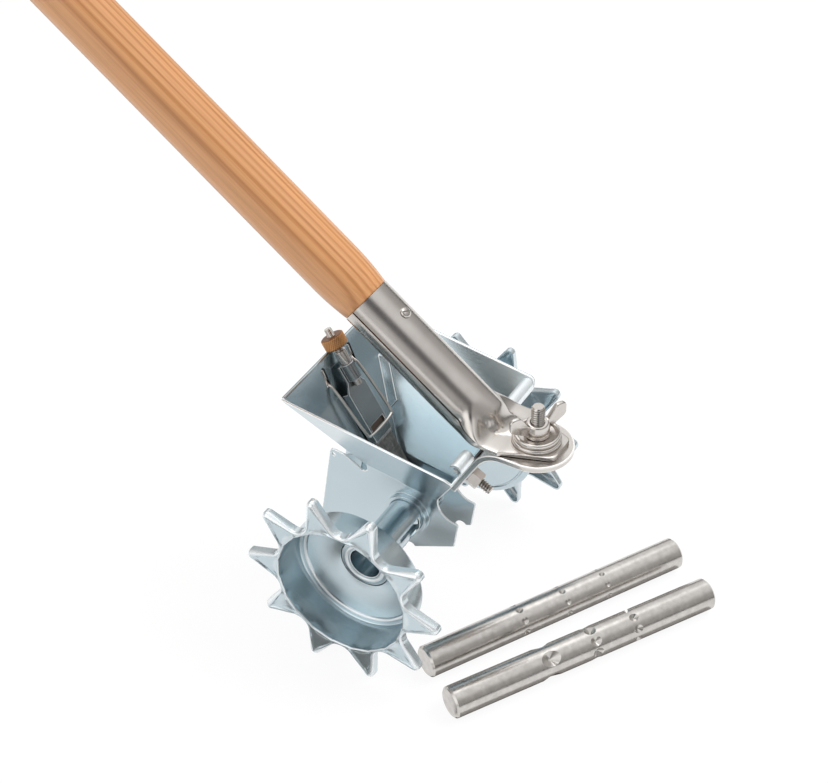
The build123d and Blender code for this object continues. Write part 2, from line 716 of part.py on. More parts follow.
wing_turn = radians(WING_DIRECTION)
wing_plane = Plane(
    origin=(PIVOT_X, 0, nut_foot),
    x_dir=(cos(wing_turn), sin(wing_turn), 0),
    z_dir=(sin(wing_turn), -cos(wing_turn), 0),
)
with BuildPart() as wing_nut:
    with BuildSketch(wing_plane):
        for hand in (-1, 1):
            wing = [
                (0, WING_BASE / 6),
                (hand * WING_BASE_RADIUS, WING_BASE / 6),
                (hand * WING_SPAN, WING_RISE / 2),
                (hand * WING_SPAN, WING_RISE),
                (hand * 2 * WING_SPAN / 3, WING_RISE),
                (hand * WING_BASE_RADIUS, WING_BASE),
                (0, WING_BASE),
            ]
            with BuildLine():
                Polyline(*wing, close=True)
            make_face()
    extrude(amount=WING_SHEET / 2, both=True)
    wing_corners = wing_nut.edges().filter_by(Axis(wing_plane.origin, wing_plane.z_dir))
    fillet(wing_corners.filter_by_position(Axis.Z, nut_foot + WING_RISE / 3, PIVOT_TOP), WING_ROUND / 2)
    with BuildSketch(pivot_plane(nut_foot)):
        Circle(WING_BASE_RADIUS)
    extrude(amount=WING_BASE)
    with BuildSketch(pivot_plane(nut_foot)):
        Circle(PIVOT_RADIUS + THREAD_GAP)
    extrude(amount=WING_RISE, mode=Mode.SUBTRACT)
keep(wing_nut.part, "wing_nut")

# Handle socket: a rolled tube with an open seam, flattened into a level tongue
handle_rise = radians(HANDLE_RISE)
HANDLE_UP = Vector(-cos(handle_rise), 0, sin(handle_rise))
HANDLE_TOP = Vector(sin(handle_rise), 0, cos(handle_rise))
tongue_start = PIVOT_X - TONGUE_ROOT
tongue_widest = PIVOT_X - TONGUE_SHOULDER
tongue_end = PIVOT_X + TONGUE_NOSE
knee_point = Vector(PIVOT_X - SOCKET_KNEE, 0, tongue_foot + TONGUE_SHEET / 2)
socket_bore = SOCKET_RADIUS - SOCKET_SHEET
tenon_radius = socket_bore - POLE_CLEARANCE


def socket_plane(distance):
    """A plane across the handle's axis, this far up it, its y on the upper side."""
    return Plane(origin=knee_point + HANDLE_UP * distance, x_dir=(0, -1, 0), z_dir=HANDLE_UP)


screw_spot = socket_plane(SOCKET_LENGTH - SCREW_INSET)
screw_plane = Plane(
    origin=screw_spot.origin + HANDLE_TOP * SOCKET_RADIUS, x_dir=(0, -1, 0), z_dir=HANDLE_TOP
)
neck_top = socket_plane(SOCKET_BLEND).origin + HANDLE_TOP * SOCKET_RADIUS
neck_low = socket_plane(SOCKET_BLEND).origin - HANDLE_TOP * SOCKET_RADIUS
with BuildPart() as handle_socket:
    with BuildSketch(socket_plane(SOCKET_BLEND)):
        Circle(SOCKET_RADIUS)
    with BuildSketch(socket_plane(-SOCKET_BLEND)):
        Circle(NECK_SPREAD)
    loft()
    with BuildSketch(Plane.XZ):
        with BuildLine():
            Polyline(
                (neck_top.X, neck_top.Z),
                (neck_low.X, neck_low.Z),
                (tongue_start, tongue_foot),
                (tongue_start, washer_foot),
                close=True,
            )
        make_face()
    extrude(amount=2 * TONGUE_HALF, both=True, mode=Mode.INTERSECT)
    with BuildSketch(socket_plane(SOCKET_BLEND)):
        Circle(SOCKET_RADIUS)
    extrude(amount=SOCKET_LENGTH - SOCKET_BLEND)
    with BuildSketch(socket_plane(SOCKET_BLEND)):
        Circle(socket_bore)
    extrude(amount=SOCKET_LENGTH, mode=Mode.SUBTRACT)
    with BuildSketch(Plane(origin=(0, 0, tongue_foot), x_dir=(1, 0, 0), z_dir=(0, 0, 1))):
        with BuildLine():
            Polyline(
                (tongue_start, -TONGUE_HALF),
                (tongue_widest, -TONGUE_HALF),
                (tongue_end, -TONGUE_END_WIDTH / 2),
                (tongue_end, TONGUE_END_WIDTH / 2),
                (tongue_widest, TONGUE_HALF),
                (tongue_start, TONGUE_HALF),
                close=True,
            )
        make_face()
        with Locations((PIVOT_X, 0)):
            Circle(pivot_bore, mode=Mode.SUBTRACT)
    extrude(amount=TONGUE_SHEET)
    seam_turn = radians(SEAM_DIRECTION)
    seam_out = Vector(0, -sin(seam_turn), 0) + HANDLE_TOP * cos(seam_turn)
    with BuildSketch(
        Plane(
            origin=knee_point + HANDLE_UP * (SOCKET_BLEND + SOCKET_LENGTH), x_dir=HANDLE_UP, z_dir=seam_out
        )
    ):
        Rectangle(2 * SOCKET_LENGTH, SEAM_WIDTH)
    extrude(amount=2 * SOCKET_RADIUS, mode=Mode.SUBTRACT)
    with BuildSketch(screw_plane):
        Circle(SCREW_SHANK_RADIUS + THREAD_GAP)
    extrude(amount=-SOCKET_RADIUS, mode=Mode.SUBTRACT)
keep(handle_socket.part, "handle_socket")

with BuildPart() as handle_pole:
    with BuildSketch(half_plane(socket_plane(SOCKET_LENGTH))):
        with BuildLine():
            Polyline(
                (POLE_SHOULDER_RADIUS, SLIP_GAP),
                (tenon_radius, SLIP_GAP),
                (tenon_radius, -POLE_DEPTH),
                (0, -POLE_DEPTH),
                (0, POLE_LENGTH),
                (POLE_RADIUS - POLE_END_ROUND, POLE_LENGTH),
                (POLE_RADIUS, POLE_LENGTH - POLE_END_ROUND),
                (POLE_RADIUS, POLE_SHOULDER),
                close=True,
            )
        make_face()
    revolve(axis=Axis(knee_point, HANDLE_UP))
    with BuildSketch(screw_plane):
        Circle(SCREW_SHANK_RADIUS + THREAD_GAP)
    extrude(amount=-SCREW_LENGTH - THREAD_GAP, mode=Mode.SUBTRACT)
keep(handle_pole.part, "handle_pole")

with BuildPart() as socket_screw:
    with BuildSketch(screw_plane):
        Circle(SCREW_HEAD_RADIUS)
    extrude(amount=SCREW_HEAD)
    with BuildSketch(screw_plane):
        Circle(SCREW_SHANK_RADIUS)
    extrude(amount=-SCREW_LENGTH)
    with BuildSketch(screw_plane.offset(SCREW_HEAD)):
        Rectangle(SCREW_SLOT, 2 * SCREW_HEAD_RADIUS, rotation=WING_DIRECTION)
    extrude(amount=-SCREW_SLOT, mode=Mode.SUBTRACT)
keep(socket_screw.part, "socket_screw")

# Brush: a sheet carrier on a threaded stud, along the line through the axle
BRUSH_UP = FORE * brush_line.X + RISE * brush_line.Y
BRUSH_OVER = FORE * brush_over.X + RISE * brush_over.Y
BRUSH = Plane(origin=(0, 0, 0), x_dir=ACROSS, z_dir=BRUSH_OVER)
tube_bore = STUD_RADIUS + STUD_CLEARANCE
tube_radius = tube_bore + TUBE_WALL
plate_low = STUD_HEIGHT - tube_radius - STUD_CLEARANCE
back_half = BRUSH_HALF_WIDTH - SHEET - SHEET_GAP
neck_half = CARRIER_NECK / 2


def stud_plane(distance):
    """A plane across the stud, this far from the axle."""
    return Plane(
        origin=BRUSH_UP * distance + BRUSH_OVER * STUD_HEIGHT, x_dir=ACROSS, z_dir=BRUSH_UP
    )


with BuildPart() as brush_carrier:
    with BuildSketch(BRUSH.offset(plate_low)):
        with BuildLine():
            Polyline(
                (-BRUSH_HALF_WIDTH, CARRIER_FOOT),
                (BRUSH_HALF_WIDTH, CARRIER_FOOT),
                (BRUSH_HALF_WIDTH, CARRIER_SHOULDER),
                (neck_half, CARRIER_TUBE_FOOT),
                (neck_half, CARRIER_TOP),
                (-neck_half, CARRIER_TOP),
                (-neck_half, CARRIER_TUBE_FOOT),
                (-BRUSH_HALF_WIDTH, CARRIER_SHOULDER),
                close=True,
            )
        make_face()
        with Locations((0, CARRIER_SLOT + CARRIER_SLOT_LENGTH / 2)):
            Rectangle(CARRIER_SLOT_WIDTH, CARRIER_SLOT_LENGTH, mode=Mode.SUBTRACT)
    extrude(amount=SHEET)
    flange_length = CARRIER_SHOULDER - CARRIER_FOOT
    flange_middle = CARRIER_FOOT + flange_length / 2
    flange_across = BRUSH_HALF_WIDTH - SHEET / 2
    with BuildSketch(BRUSH.offset(plate_low)):
        with Locations((-flange_across, flange_middle), (flange_across, flange_middle)):
            Rectangle(SHEET, flange_length)
    extrude(amount=-CARRIER_FLANGE)
    with BuildSketch(stud_plane(CARRIER_TUBE_FOOT)):
        Circle(tube_radius)
    extrude(amount=CARRIER_TOP - CARRIER_TUBE_FOOT)
    with BuildSketch(stud_plane(CARRIER_TUBE_FOOT)):
        Circle(tube_bore)
    extrude(amount=CARRIER_TOP - CARRIER_TUBE_FOOT, mode=Mode.SUBTRACT)
keep(brush_carrier.part, "brush_carrier")

with BuildPart() as brush_stud:
    with BuildSketch(stud_plane(STUD_FOOT)):
        Circle(STUD_RADIUS)
    extrude(amount=STUD_TIP - STUD_FOOT)
keep(brush_stud.part, "brush_stud")

with BuildPart() as brush_spacer:
    with BuildSketch(stud_plane(CARRIER_TOP + SLIP_GAP)):
        Circle(SPACER_RADIUS)
        Circle(tube_bore, mode=Mode.SUBTRACT)
    extrude(amount=SPACER_LENGTH)
keep(brush_spacer.part, "brush_spacer")

with BuildPart() as brush_knob:
    with BuildSketch(stud_plane(KNOB_FOOT)):
        Circle(KNOB_RADIUS)
    extrude(amount=KNOB_LENGTH)
    with BuildSketch(stud_plane(KNOB_FOOT)):
        Circle(STUD_RADIUS + THREAD_GAP)
        with PolarLocations(KNOB_RADIUS, KNOB_GROOVES):
            RegularPolygon(KNOB_GROOVE_RADIUS, 4)
    extrude(amount=KNOB_LENGTH, mode=Mode.SUBTRACT)
keep(brush_knob.part, "brush_knob")

with BuildPart() as brush_back:
    with BuildSketch(BRUSH.offset(plate_low - SLIP_GAP)):
        back_foot_distance = BRISTLE_ROOT + BRISTLE_SLICE + SLIP_GAP
        back_length = BACK_END - back_foot_distance
        with Locations((0, back_foot_distance + back_length / 2)):
            Rectangle(2 * back_half, back_length)
    extrude(amount=BACK_LOW - plate_low + SLIP_GAP)
keep(brush_back.part, "brush_back")

bristle_middle = (plate_low + BACK_LOW) / 2
root_plane = Plane(
    origin=BRUSH_UP * BRISTLE_ROOT + BRUSH_OVER * bristle_middle, x_dir=ACROSS, z_dir=BRUSH_UP
)
with BuildPart() as brush_bristles:
    with BuildSketch(root_plane):
        with GridLocations(
            BRISTLE_SPREAD / (BRISTLE_COLUMNS - 1),
            BRISTLE_DEPTH / (BRISTLE_ROWS - 1),
            BRISTLE_COLUMNS,
            BRISTLE_ROWS,
        ):
            RegularPolygon(BRISTLE_SIZE, BRISTLE_SIDES)
    extrude(amount=BRISTLE_TIP - BRISTLE_ROOT)
    with BuildSketch(root_plane):
        Rectangle(2 * back_half + 2 * SHEET, plate_low - BACK_LOW - SLIP_GAP)
    extrude(amount=BRISTLE_SLICE)
keep(brush_bristles.part, "brush_bristles")

# Wire bail: hooked through the wall's slots, its bar lying over the carrier
hook_in = SHEET + WIRE_BEND
tail_out = -BAIL_TAIL_GAP
bar_near = BRUSH_UP * BAIL_BAR + BRUSH_OVER * BAIL_BAR_HEIGHT


def bail_leg(hand):
    """The wire's points on one side, from its tail outside the wall to the bar's corner."""
    across = hand * BAIL_HALF
    return [
        brush_wall_plane.from_local_coords((across, slot_foot + BAIL_TAIL, tail_out)),
        brush_wall_plane.from_local_coords((across, slot_foot + WIRE_BEND, tail_out)),
        brush_wall_plane.from_local_coords((across, slot_foot, tail_out + WIRE_BEND)),
        brush_wall_plane.from_local_coords((across, slot_foot, SHEET)),
        brush_wall_plane.from_local_coords((across, slot_foot - WIRE_BEND, hook_in)),
        bar_near + ACROSS * across + BRUSH_UP * WIRE_BEND,
        bar_near + ACROSS * (across - hand * WIRE_BEND),
    ]


with BuildPart() as brush_bail:
    with BuildLine() as wire:
        Polyline(*bail_leg(-1), *bail_leg(1)[::-1])
    with BuildSketch(Plane(origin=wire.wire() @ 0, z_dir=wire.wire() % 0)):
        RegularPolygon(WIRE_RADIUS, WIRE_SIDES)
    sweep(transition=Transition.RIGHT)
keep(brush_bail.part, "brush_bail")


def drill_point(radius):
    """A pointed drill with flat facets, its tip down and its full radius at the origin's level."""
    depth = radius * PIT_DEPTH
    top = 2 * radius
    tip = Vector(0, 0, -depth)
    corners = []
    for corner in range(PIT_SIDES + 1):
        corners.append(Vector(top, 0, depth).rotate(Axis.Z, corner * 360 / PIT_SIDES))
    faces = [Face(Wire.make_polygon([a, b, tip])) for a, b in zip(corners, corners[1:])]
    faces.append(Face(Wire.make_polygon(corners[:-1])))
    return Solid(Shell(faces))


# Metering rods: plain bars with three rings of round dimples, lying on the ground
def metering_rod(end, heading, radii, counts, turns, label):
    """Make one rod from its near end, along its heading over the ground."""
    turn = radians(heading)
    end_plane = Plane(
        origin=(end[0], end[1], GROUND + ROD_RADIUS),
        x_dir=(0, 0, 1),
        z_dir=(cos(turn), sin(turn), 0),
    )
    with BuildPart() as rod:
        with BuildSketch(end_plane):
            Circle(ROD_RADIUS)
        extrude(amount=ROD_LENGTH)
        chamfer(rod.edges().filter_by(GeomType.CIRCLE), ROD_CHAMFER)
        for share, radius, count, start in zip(ROD_RINGS, radii, counts, turns):
            drill = drill_point(radius)
            with Locations(Location(end_plane.offset(share * ROD_LENGTH))):
                with PolarLocations(ROD_RADIUS, count, start_angle=start):
                    add(drill, rotation=(0, 90, 0), mode=Mode.SUBTRACT)
    keep(rod.part, label)


metering_rod(
    FINE_ROD_END, FINE_ROD_HEADING, FINE_DIMPLE_RADII, FINE_DIMPLE_COUNTS, FINE_DIMPLE_TURNS, "seed_rod_fine"
)
metering_rod(
    COARSE_ROD_END,
    COARSE_ROD_HEADING,
    COARSE_DIMPLE_RADII,
    COARSE_DIMPLE_COUNTS,
    COARSE_DIMPLE_TURNS,
    "seed_rod_coarse",
)
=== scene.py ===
"""Looks of the walk-behind seed planter: zinc sheet, toothed pan wheels, socket, wooden pole, brush and rods.

Sizes are in millimetres and degrees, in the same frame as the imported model: X towards the handle bracket,
Y along the axle, Z up. Meshes are made in metres.
"""

from math import acos, atan2, cos, hypot, pi, radians, sin, sqrt, tan

import bmesh
import bpy
from mathutils import Matrix, Vector


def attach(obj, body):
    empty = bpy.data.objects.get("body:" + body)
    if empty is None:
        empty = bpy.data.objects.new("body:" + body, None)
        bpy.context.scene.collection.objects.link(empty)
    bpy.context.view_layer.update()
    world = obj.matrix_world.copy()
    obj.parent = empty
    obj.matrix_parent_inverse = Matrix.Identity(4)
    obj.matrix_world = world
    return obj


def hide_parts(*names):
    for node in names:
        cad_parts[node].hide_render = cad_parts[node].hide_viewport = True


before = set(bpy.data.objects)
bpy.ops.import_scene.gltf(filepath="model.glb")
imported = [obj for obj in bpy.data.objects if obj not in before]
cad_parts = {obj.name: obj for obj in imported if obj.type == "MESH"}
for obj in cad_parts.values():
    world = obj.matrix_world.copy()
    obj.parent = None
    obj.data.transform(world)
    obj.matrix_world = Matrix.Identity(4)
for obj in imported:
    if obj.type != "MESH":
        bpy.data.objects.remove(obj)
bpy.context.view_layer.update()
scene = bpy.context.scene

MM = 0.001
WELD = 0.000002
WIDE_WELD = 0.000008
SHADE_ANGLE = 32.0

# Points round a turned piece
ROD_ROUND = 96
WIDE_ROUND = 72
NUT_ROUND = 56
SMALL_ROUND = 40
BOLT_ROUND = 36
TINY_ROUND = 28

# Worn edges of the sheet pieces
FLAT_ANGLE = 0.6
SHARP_ANGLE = 38.0
EDGE_SEGMENTS = 3
SIDE_EDGE = 0.6
WALL_EDGE = 0.5
THIN_EDGE = 0.3
STRAP_EDGE = 0.8
SLEEVE_EDGE = 0.35

# Stance and hopper
STANCE = 8.0
GROUND = -63.1
SHEET = 1.5
SHEET_GAP = 0.15
BOOT_GAP = 20.6
FOLD_HEIGHT = 21.0
FOLD_NOSE = 35.3
FOLD_BACK = 17.5
RIM_HEIGHT = 85.0
RIM_NOSE = 73.3
RIM_BACK = 42.3
RIM_HALF_WIDTH = 55.0
ROLL_RADIUS = 4.5
ROLL_DROP = 7.0
ROLL_MARGIN = 0.4
# Painted highlight on the rolled top of the bracket wall
ROLL_HIGHLIGHT = 0.6
COLLAR_REACH = 18.0
WELD_SPOTS = ((-53.4, 58.5), (-43.6, 47.5))
WELD_SPOT_RADIUS = 1.7
WELD_SPOT_DEPTH = 0.3
WELD_SPOT_EDGE = 0.02
WELD_SPOT_RING = ((0.25, 0.16), (0.6, 0.1))
WELD_SPOT_DISH = 0.1
WELD_SPOT_CENTRE = 0.1

# Wheels; a face station is a share of the way to the mouth, a share of the recess and its painted highlight
WHEELS = ((-1, 143.2, "near"), (1, 112.0, "far"))
SLEEVE_TURN = 22.0
TOOTH_COUNT = 10
TOOTH_PLANE = 93.4
TOOTH_TIP = 65.0
TOOTH_TIP_ROUND = 3.5
TOOTH_DEPTH = 6.0
# Painted highlights on the teeth's sides, along their shoulders and the mouth's fold, on the floor's bead and
# the flange's lip
TOOTH_SIDE_HIGHLIGHT = 0.25
SCALLOP_BOTTOM = 44.4
SCALLOP_ROUND = 8.2
TIP_SHOULDER = 3.2
FLANK_SHOULDER = 1.7
SCALLOP_SHOULDER = 1.2
SHOULDER_HIGHLIGHT = 0.8
FACE_RECESS = 0.8
RECESS_REACH = 6.0
FACE_STATIONS = ((0.08, 0.5, 0.3), (0.16, 1.0, 0.0), (0.5, 1.0, 0.0), (0.8, 1.0, 0.0), (0.9, 0.5, 0.3))
MOUTH_FOLD = 1.1
MOUTH_HIGHLIGHT = 0.6
CHORD = 42.15
CHORD_END = 12.0
CHORD_FADE = 8.0
PAN_WALL = 1.1
PAN_INNER = 42.0
PAN_FLOOR = 23.0
PAN_FOOT_ROUND = 1.3
WALL_FOLD = 4.5
WALL_STATIONS = (2.0, 3.0, WALL_FOLD)
WALL_MIDDLE = 14.0
BEAD_MIDDLE = 38.3
BEAD_HALF = 1.5
BEAD_RISE = 1.0
BEAD_FULLNESS = 0.8
# The middle share of the bead that carries a painted highlight, and its strength
BEAD_BRIGHT = 0.6
BEAD_HIGHLIGHT = 0.7
FLOOR_STATIONS = (33.0, 27.0, 22.0)
FLANGE_FACE = 29.0
FLANGE_REACH = 16.6
FLANGE_ROUND = 0.3
HUB_FLOOR = 31.5
HUB_BORE = 11.65
LIP_MIDDLE = 12.6
LIP_HALF = 1.4
LIP_RISE = 0.9
LIP_HIGHLIGHT = 0.7

# Threads and hexagons
THREAD_DEPTH = 0.55
THREAD_TAPER = 0.8
# Painted shade in the thread grooves
THREAD_SHADE = 0.65
THREAD_LEAD = 1.0
HEXAGON_FACE = 0.96

# Handle bracket, its fixings and the handle joint
STRAP = 4.0
FIXING_HEIGHT = 59.5
FIXING_SPREAD = 15.0
FIXING_RADIUS = 3.0
FIXING_HEAD = 4.0
FIXING_END = 15.5
FIXING_PITCH = 1.6
FIXING_APOTHEM = 5.0
FIXING_NUT = 7.5
NUT_SLACK = 0.05
NUT_MOUTH = 0.5
PLATE_TOP = 79.504
PIVOT_X = 78.002
PIVOT_RADIUS = 4.0
PIVOT_PITCH = 1.6
PIVOT_HEAD_RADIUS = 8.0
PIVOT_HEAD_CENTRE = 0.4
PIVOT_HEAD = 4.0
PIVOT_TOP = 107.004
SLIP_GAP = 0.15
CLAMP_WASHER_RADIUS = 14.5
CLAMP_WASHER = 2.4
CUP_WASHER_RADIUS = 13.6
CUP_WASHER = 3.4
CUP_FLOOR = 1.6
CUP_RIM = 2.2
CUP_DRAFT = 0.4
WASHER_BORE = 4.4

# Wing nut and its ears
WING_BASE_RADIUS = 7.6
WING_BASE_DRAFT = 1.0
WING_BASE = 9.0
WING_SPAN = 19.0
WING_SHEET = 3.6
WING_RISE = 17.0
WING_DIRECTION = 60.0
EAR_EDGE = 0.9
EAR_ROOT = 3.0
EAR_FOOT = 2.0
EAR_HEEL = 1.8
EAR_TOE = 0.48
EAR_SHOULDER = 12.4
EAR_NECK = 6.6
EAR_NECK_DROP = 0.5
EAR_MIDDLE = (10.5, 9.0)
EAR_TIP_SHEET = 0.36

# Handle socket; a dent is its distance up the tube, its turn, its reach and its depth
HANDLE_RISE = 36.4
SOCKET_KNEE = 45.5
SOCKET_LENGTH = 100.0
SOCKET_RADIUS = 15.9
SOCKET_SHEET = 1.4
SEAM_DIRECTION = 85.0
SEAM_SHOWN = 1.0
SECTION_STEPS = 96
TUBE_STATIONS = (SOCKET_LENGTH, 85.0, 60.0, 40.0, 30.0, 26.0, 23.0, 21.0, 19.0, 17.5)
NECK_START = 16.0
NECK_STEPS = 26
NECK_FLAT = 0.72
TUBE_PULL = 12.0
TONGUE_PULL = 10.0
BACK_FADE = 0.5
BACK_HALF_END = 8.0
BACK_SHIFT = 3.0
CREASE = 5.0
LEAST_CREASE = 0.01
ROUND_POWER = 2.0
FLAT_POWER = 7.0
SHUT_SEAM = 0.01
DENTS = ((13.0, 80.0, 3.2, 1.0), (9.0, 52.0, 3.6, 0.35))
TONGUE_SHEET = 3.0
TONGUE_HALF = 22.0
TONGUE_END_HALF = 10.5
TONGUE_END = 94.5
TONGUE_WIDEST = 61.0
TONGUE_START = 64.0
TONGUE_STATIONS = (66.0, 74.0, 84.0, 91.0)
TONGUE_CORNER = ((1.4, 0.0), (0.4, 0.9), (0.0, 2.2))

# Pole and screw
POLE_RADIUS = 17.5
POLE_LENGTH = 1300.0
POLE_CENTRE = 0.3
POLE_SHOULDER = 26.0
POLE_SHOULDER_RADIUS = 15.6
POLE_SHOULDER_FOOT = 0.45
POLE_SHOULDER_EDGE = 0.3
POLE_TENON = 14.1
POLE_TENON_CHAMFER = 1.0
POLE_DEPTH = 58.0
POLE_SPANS = 10
POLE_LAST_SPAN = 100.0
POLE_END_ROUND = 6.0
SCREW_INSET = 21.0
SCREW_HEAD_RADIUS = 3.4
SCREW_HEAD = 2.2
SCREW_HEAD_EDGE = 0.4
SCREW_SHANK_RADIUS = 1.9
SCREW_LENGTH = 16.0
SCREW_POINT = 3.0
SCREW_CENTRE = 0.2
SCREW_SLOT = 0.8
SCREW_SLOT_DEPTH = 1.1

# Brush and bail
BRUSH_TURN = 0.27
BRISTLE_TIP = 12.8
BRISTLE_ROOT = 47.0
BRISTLE_SPREAD = 16.8
BRISTLE_DEPTH = 3.0
BRISTLE_SLICE = 1.5
BRISTLE_RADIUS = 0.16
BRISTLE_TIP_RADIUS = 0.04
BRISTLE_LEAN = 0.012
BRISTLE_SHORTEST = 0.95
BRISTLE_COLUMNS = 46
BRISTLE_ROWS = 11
BRISTLE_SEED = 7
BACK_LOW = -2.6
PLATE_LOW = 1.8
BACK_HALF = 7.35
STUD_HEIGHT = 6.0
STUD_RADIUS = 2.5
STUD_FOOT = 86.0
STUD_TIP = 125.5
STUD_PITCH = 0.8
SPACER_RADIUS = 3.8
SPACER_FOOT = 101.15
SPACER_LENGTH = 8.8
SPACER_BORE = 2.6
KNOB_FOOT = 112.8
KNOB_LENGTH = 7.6
KNOB_RADIUS = 7.4
KNOB_RIBS = 30
KNOB_GROOVE = 0.8
KNOB_FOOT_CHAMFER = (1.2, 0.8)
KNOB_TOP_CHAMFER = (0.9, 0.6)
KNURL_ROWS = 6
KNURL_DEPTH = 0.7
KNURL_SHARES = (-1.0, -0.5, 0.0, 0.5, 1.0)
BAIL_DROP = 16.24
BAIL_HALF = 14.5
BAIL_BAR = 55.0
BAIL_BAR_HEIGHT = 4.7
BAIL_TAIL = 8.5
BAIL_TAIL_GAP = 1.6
TAIL_SPLAY = 1.9
WIRE_RADIUS = 1.0
WIRE_BEND = 2.6
SLOT_HALF = 2.2
SLOT_BELOW = 3.0
SLOT_TOP = 2.0

# Metering rods
ROD_RADIUS = 10.0
ROD_LENGTH = 185.0
ROD_CHAMFER = 1.2
ROD_SPANS = 24
ROD_RINGS = (0.36, 0.53, 0.69)
PIT_DEPTH = 0.7
PIT_POINT = 0.12
RODS = {
    "fine": {
        "end": (46.0, -72.3),
        "heading": 60.5,
        "radii": (2.5, 2.2, 1.9),
        "counts": (8, 8, 8),
        "turns": (3, 3, 3),
    },
    "coarse": {
        "end": (74.4, -93.4),
        "heading": 59.1,
        "radii": (6.4, 3.8, 3.1),
        "counts": (4, 8, 8),
        "turns": (35, -5, 15),
    },
}

# Studio; a card, a dark sheet that paints shadow and dark surroundings into reflections, is its middle, its
# half sizes and its turn, a soft box its direction, its angles and its tone
FLOOR_HALF = 9000.0
FLOOR_DROP = 0.1
BACKDROP_SHARE = 0.92
SHADOW_CARDS = [
    (-14, -124, 18, 17, 0),
    (4, -104, 70, 7, 0),
    (-3, -64, 17, 10, 0),
    (-8, -34, 18, 14, 0),
    (-50, -560, 170, 300, 0),
]
CARD_RISE = 0.4
ROD_CARD_GAP = 1.0
ROD_CARD_HALF = 8.0
SOFT_BOXES = (
    ((-0.365, -0.865, 0.343), 10, 40, (1.4, 1.4, 1.4)),
    ((-0.365, 0.643, 0.674), 12, 34, (0.95, 0.95, 0.95)),
    ((-0.30, 0.28, 0.91), 9, 26, (2.5, 2.5, 2.5)),
    ((0.365, -0.643, 0.674), 4, 24, (0.10, 0.10, 0.11)),
)
LAMP_TARGET = (0, 0, 0.03)
CAMERA_PLACE = (0.4376, -0.7716, 0.8082)
CAMERA_TILT = 50.86
CAMERA_TURN = 29.73
CAMERA_LENS = 84.61
CAMERA_SENSOR = 36.0

# Directions and places worked out from the sizes
FORE = Vector((cos(radians(STANCE)), 0, -sin(radians(STANCE))))
RISE = Vector((sin(radians(STANCE)), 0, cos(radians(STANCE))))
ACROSS = Vector((0, 1, 0))
HANDLE_UP = Vector((-cos(radians(HANDLE_RISE)), 0, sin(radians(HANDLE_RISE))))
HANDLE_TOP = Vector((sin(radians(HANDLE_RISE)), 0, cos(radians(HANDLE_RISE))))
tongue_foot = PLATE_TOP + SLIP_GAP
washer_foot = tongue_foot + TONGUE_SHEET
cup_foot = washer_foot + CLAMP_WASHER
nut_foot = cup_foot + CUP_FLOOR + SLIP_GAP
knee_point = Vector((SOCKET_KNEE, 0, tongue_foot + TONGUE_SHEET / 2))


# Mesh helpers
def placed(origin, x_dir, z_dir):
    """A local frame in millimetres, from its origin and its x and z directions."""
    z_axis = Vector(z_dir).normalized()
    x_axis = Vector(x_dir)
    x_axis = (x_axis - z_axis * x_axis.dot(z_axis)).normalized()
    turn = Matrix((x_axis, z_axis.cross(x_axis), z_axis)).transposed().to_4x4()
    return Matrix.Translation(Vector(origin)) @ turn


def pitched(fore, rise, across=0.0):
    """A point of the pitched hopper in the row frame."""
    return FORE * fore + RISE * rise + ACROSS * across


def mixed(start, end, share):
    """A number part of the way from start to end."""
    return start + (end - start) * share


def smooth_step(share):
    """A share eased at both ends."""
    share = min(max(share, 0.0), 1.0)
    return share * share * (3 - 2 * share)


def eased(corners, steps=4):
    """A profile of (radius, height, rounding) corners, each rounding drawn as an arc."""
    points = []
    last = len(corners) - 1
    for k, (x, y, rounding) in enumerate(corners):
        here = Vector((x, y))
        if rounding == 0:
            points.append(here)
            continue
        before = (Vector(corners[k - 1][:2]) - here).normalized()
        after = (Vector(corners[0 if k == last else k + 1][:2]) - here).normalized()
        half = before.angle(after) / 2
        middle = (before + after).normalized()
        centre = here + middle * (rounding / sin(half))
        start = (here + before * (rounding / tan(half)) - centre).normalized()
        end = (here + after * (rounding / tan(half)) - centre).normalized()
        for step in range(steps + 1):
            points.append(centre + start.slerp(end, step / steps) * rounding)
    return points


def skin(rings, closed=True, loop=False, caps=True, flip=False):
    """Points and faces of the surface through rings of equally many points."""
    count = len(rings[0])
    rows = len(rings)
    points = [Vector(p) for ring in rings for p in ring]
    faces = []
    for row in range(rows if loop else rows - 1):
        here = row * count
        there = ((row + 1) % rows) * count
        for k in range(count if closed else count - 1):
            after = (k + 1) % count
            face = (here + k, here + after, there + after, there + k)
            faces.append(face[::-1] if flip else face)
    if caps and not loop:
        faces.append(tuple(range(count))[::-1])
        faces.append(tuple(range((rows - 1) * count, rows * count)))
    return points, faces


def mesh_from(name, *shells):
    """A mesh from shells of points in millimetres and faces."""
    points = []
    faces = []
    for shell_points, shell_faces in shells:
        start = len(points)
        points += [p * MM for p in shell_points]
        faces += [tuple(k + start for k in face) for face in shell_faces]
    mesh = bpy.data.meshes.new(name)
    mesh.from_pydata(points, [], faces)
    return mesh


def facing_out(mesh):
    """Merge a closed mesh's doubles and turn its faces outwards."""
    work = bmesh.new()
    work.from_mesh(mesh)
    bmesh.ops.remove_doubles(work, verts=work.verts, dist=WELD)
    bmesh.ops.recalc_face_normals(work, faces=work.faces)
    work.to_mesh(mesh)
    work.free()
    return mesh


def round_ring(place, radius, height, segments):
    """A circle of points about the place's z axis."""
    ring = []
    for k in range(segments):
        turn = 2 * pi * k / segments
        ring.append(place @ Vector((radius * cos(turn), radius * sin(turn), height)))
    return ring


def turned(place, profile, segments, loop=False):
    """The shell that a (radius, height) profile makes about the place's z axis."""
    return skin([round_ring(place, p[0], p[1], segments) for p in profile], loop=loop)


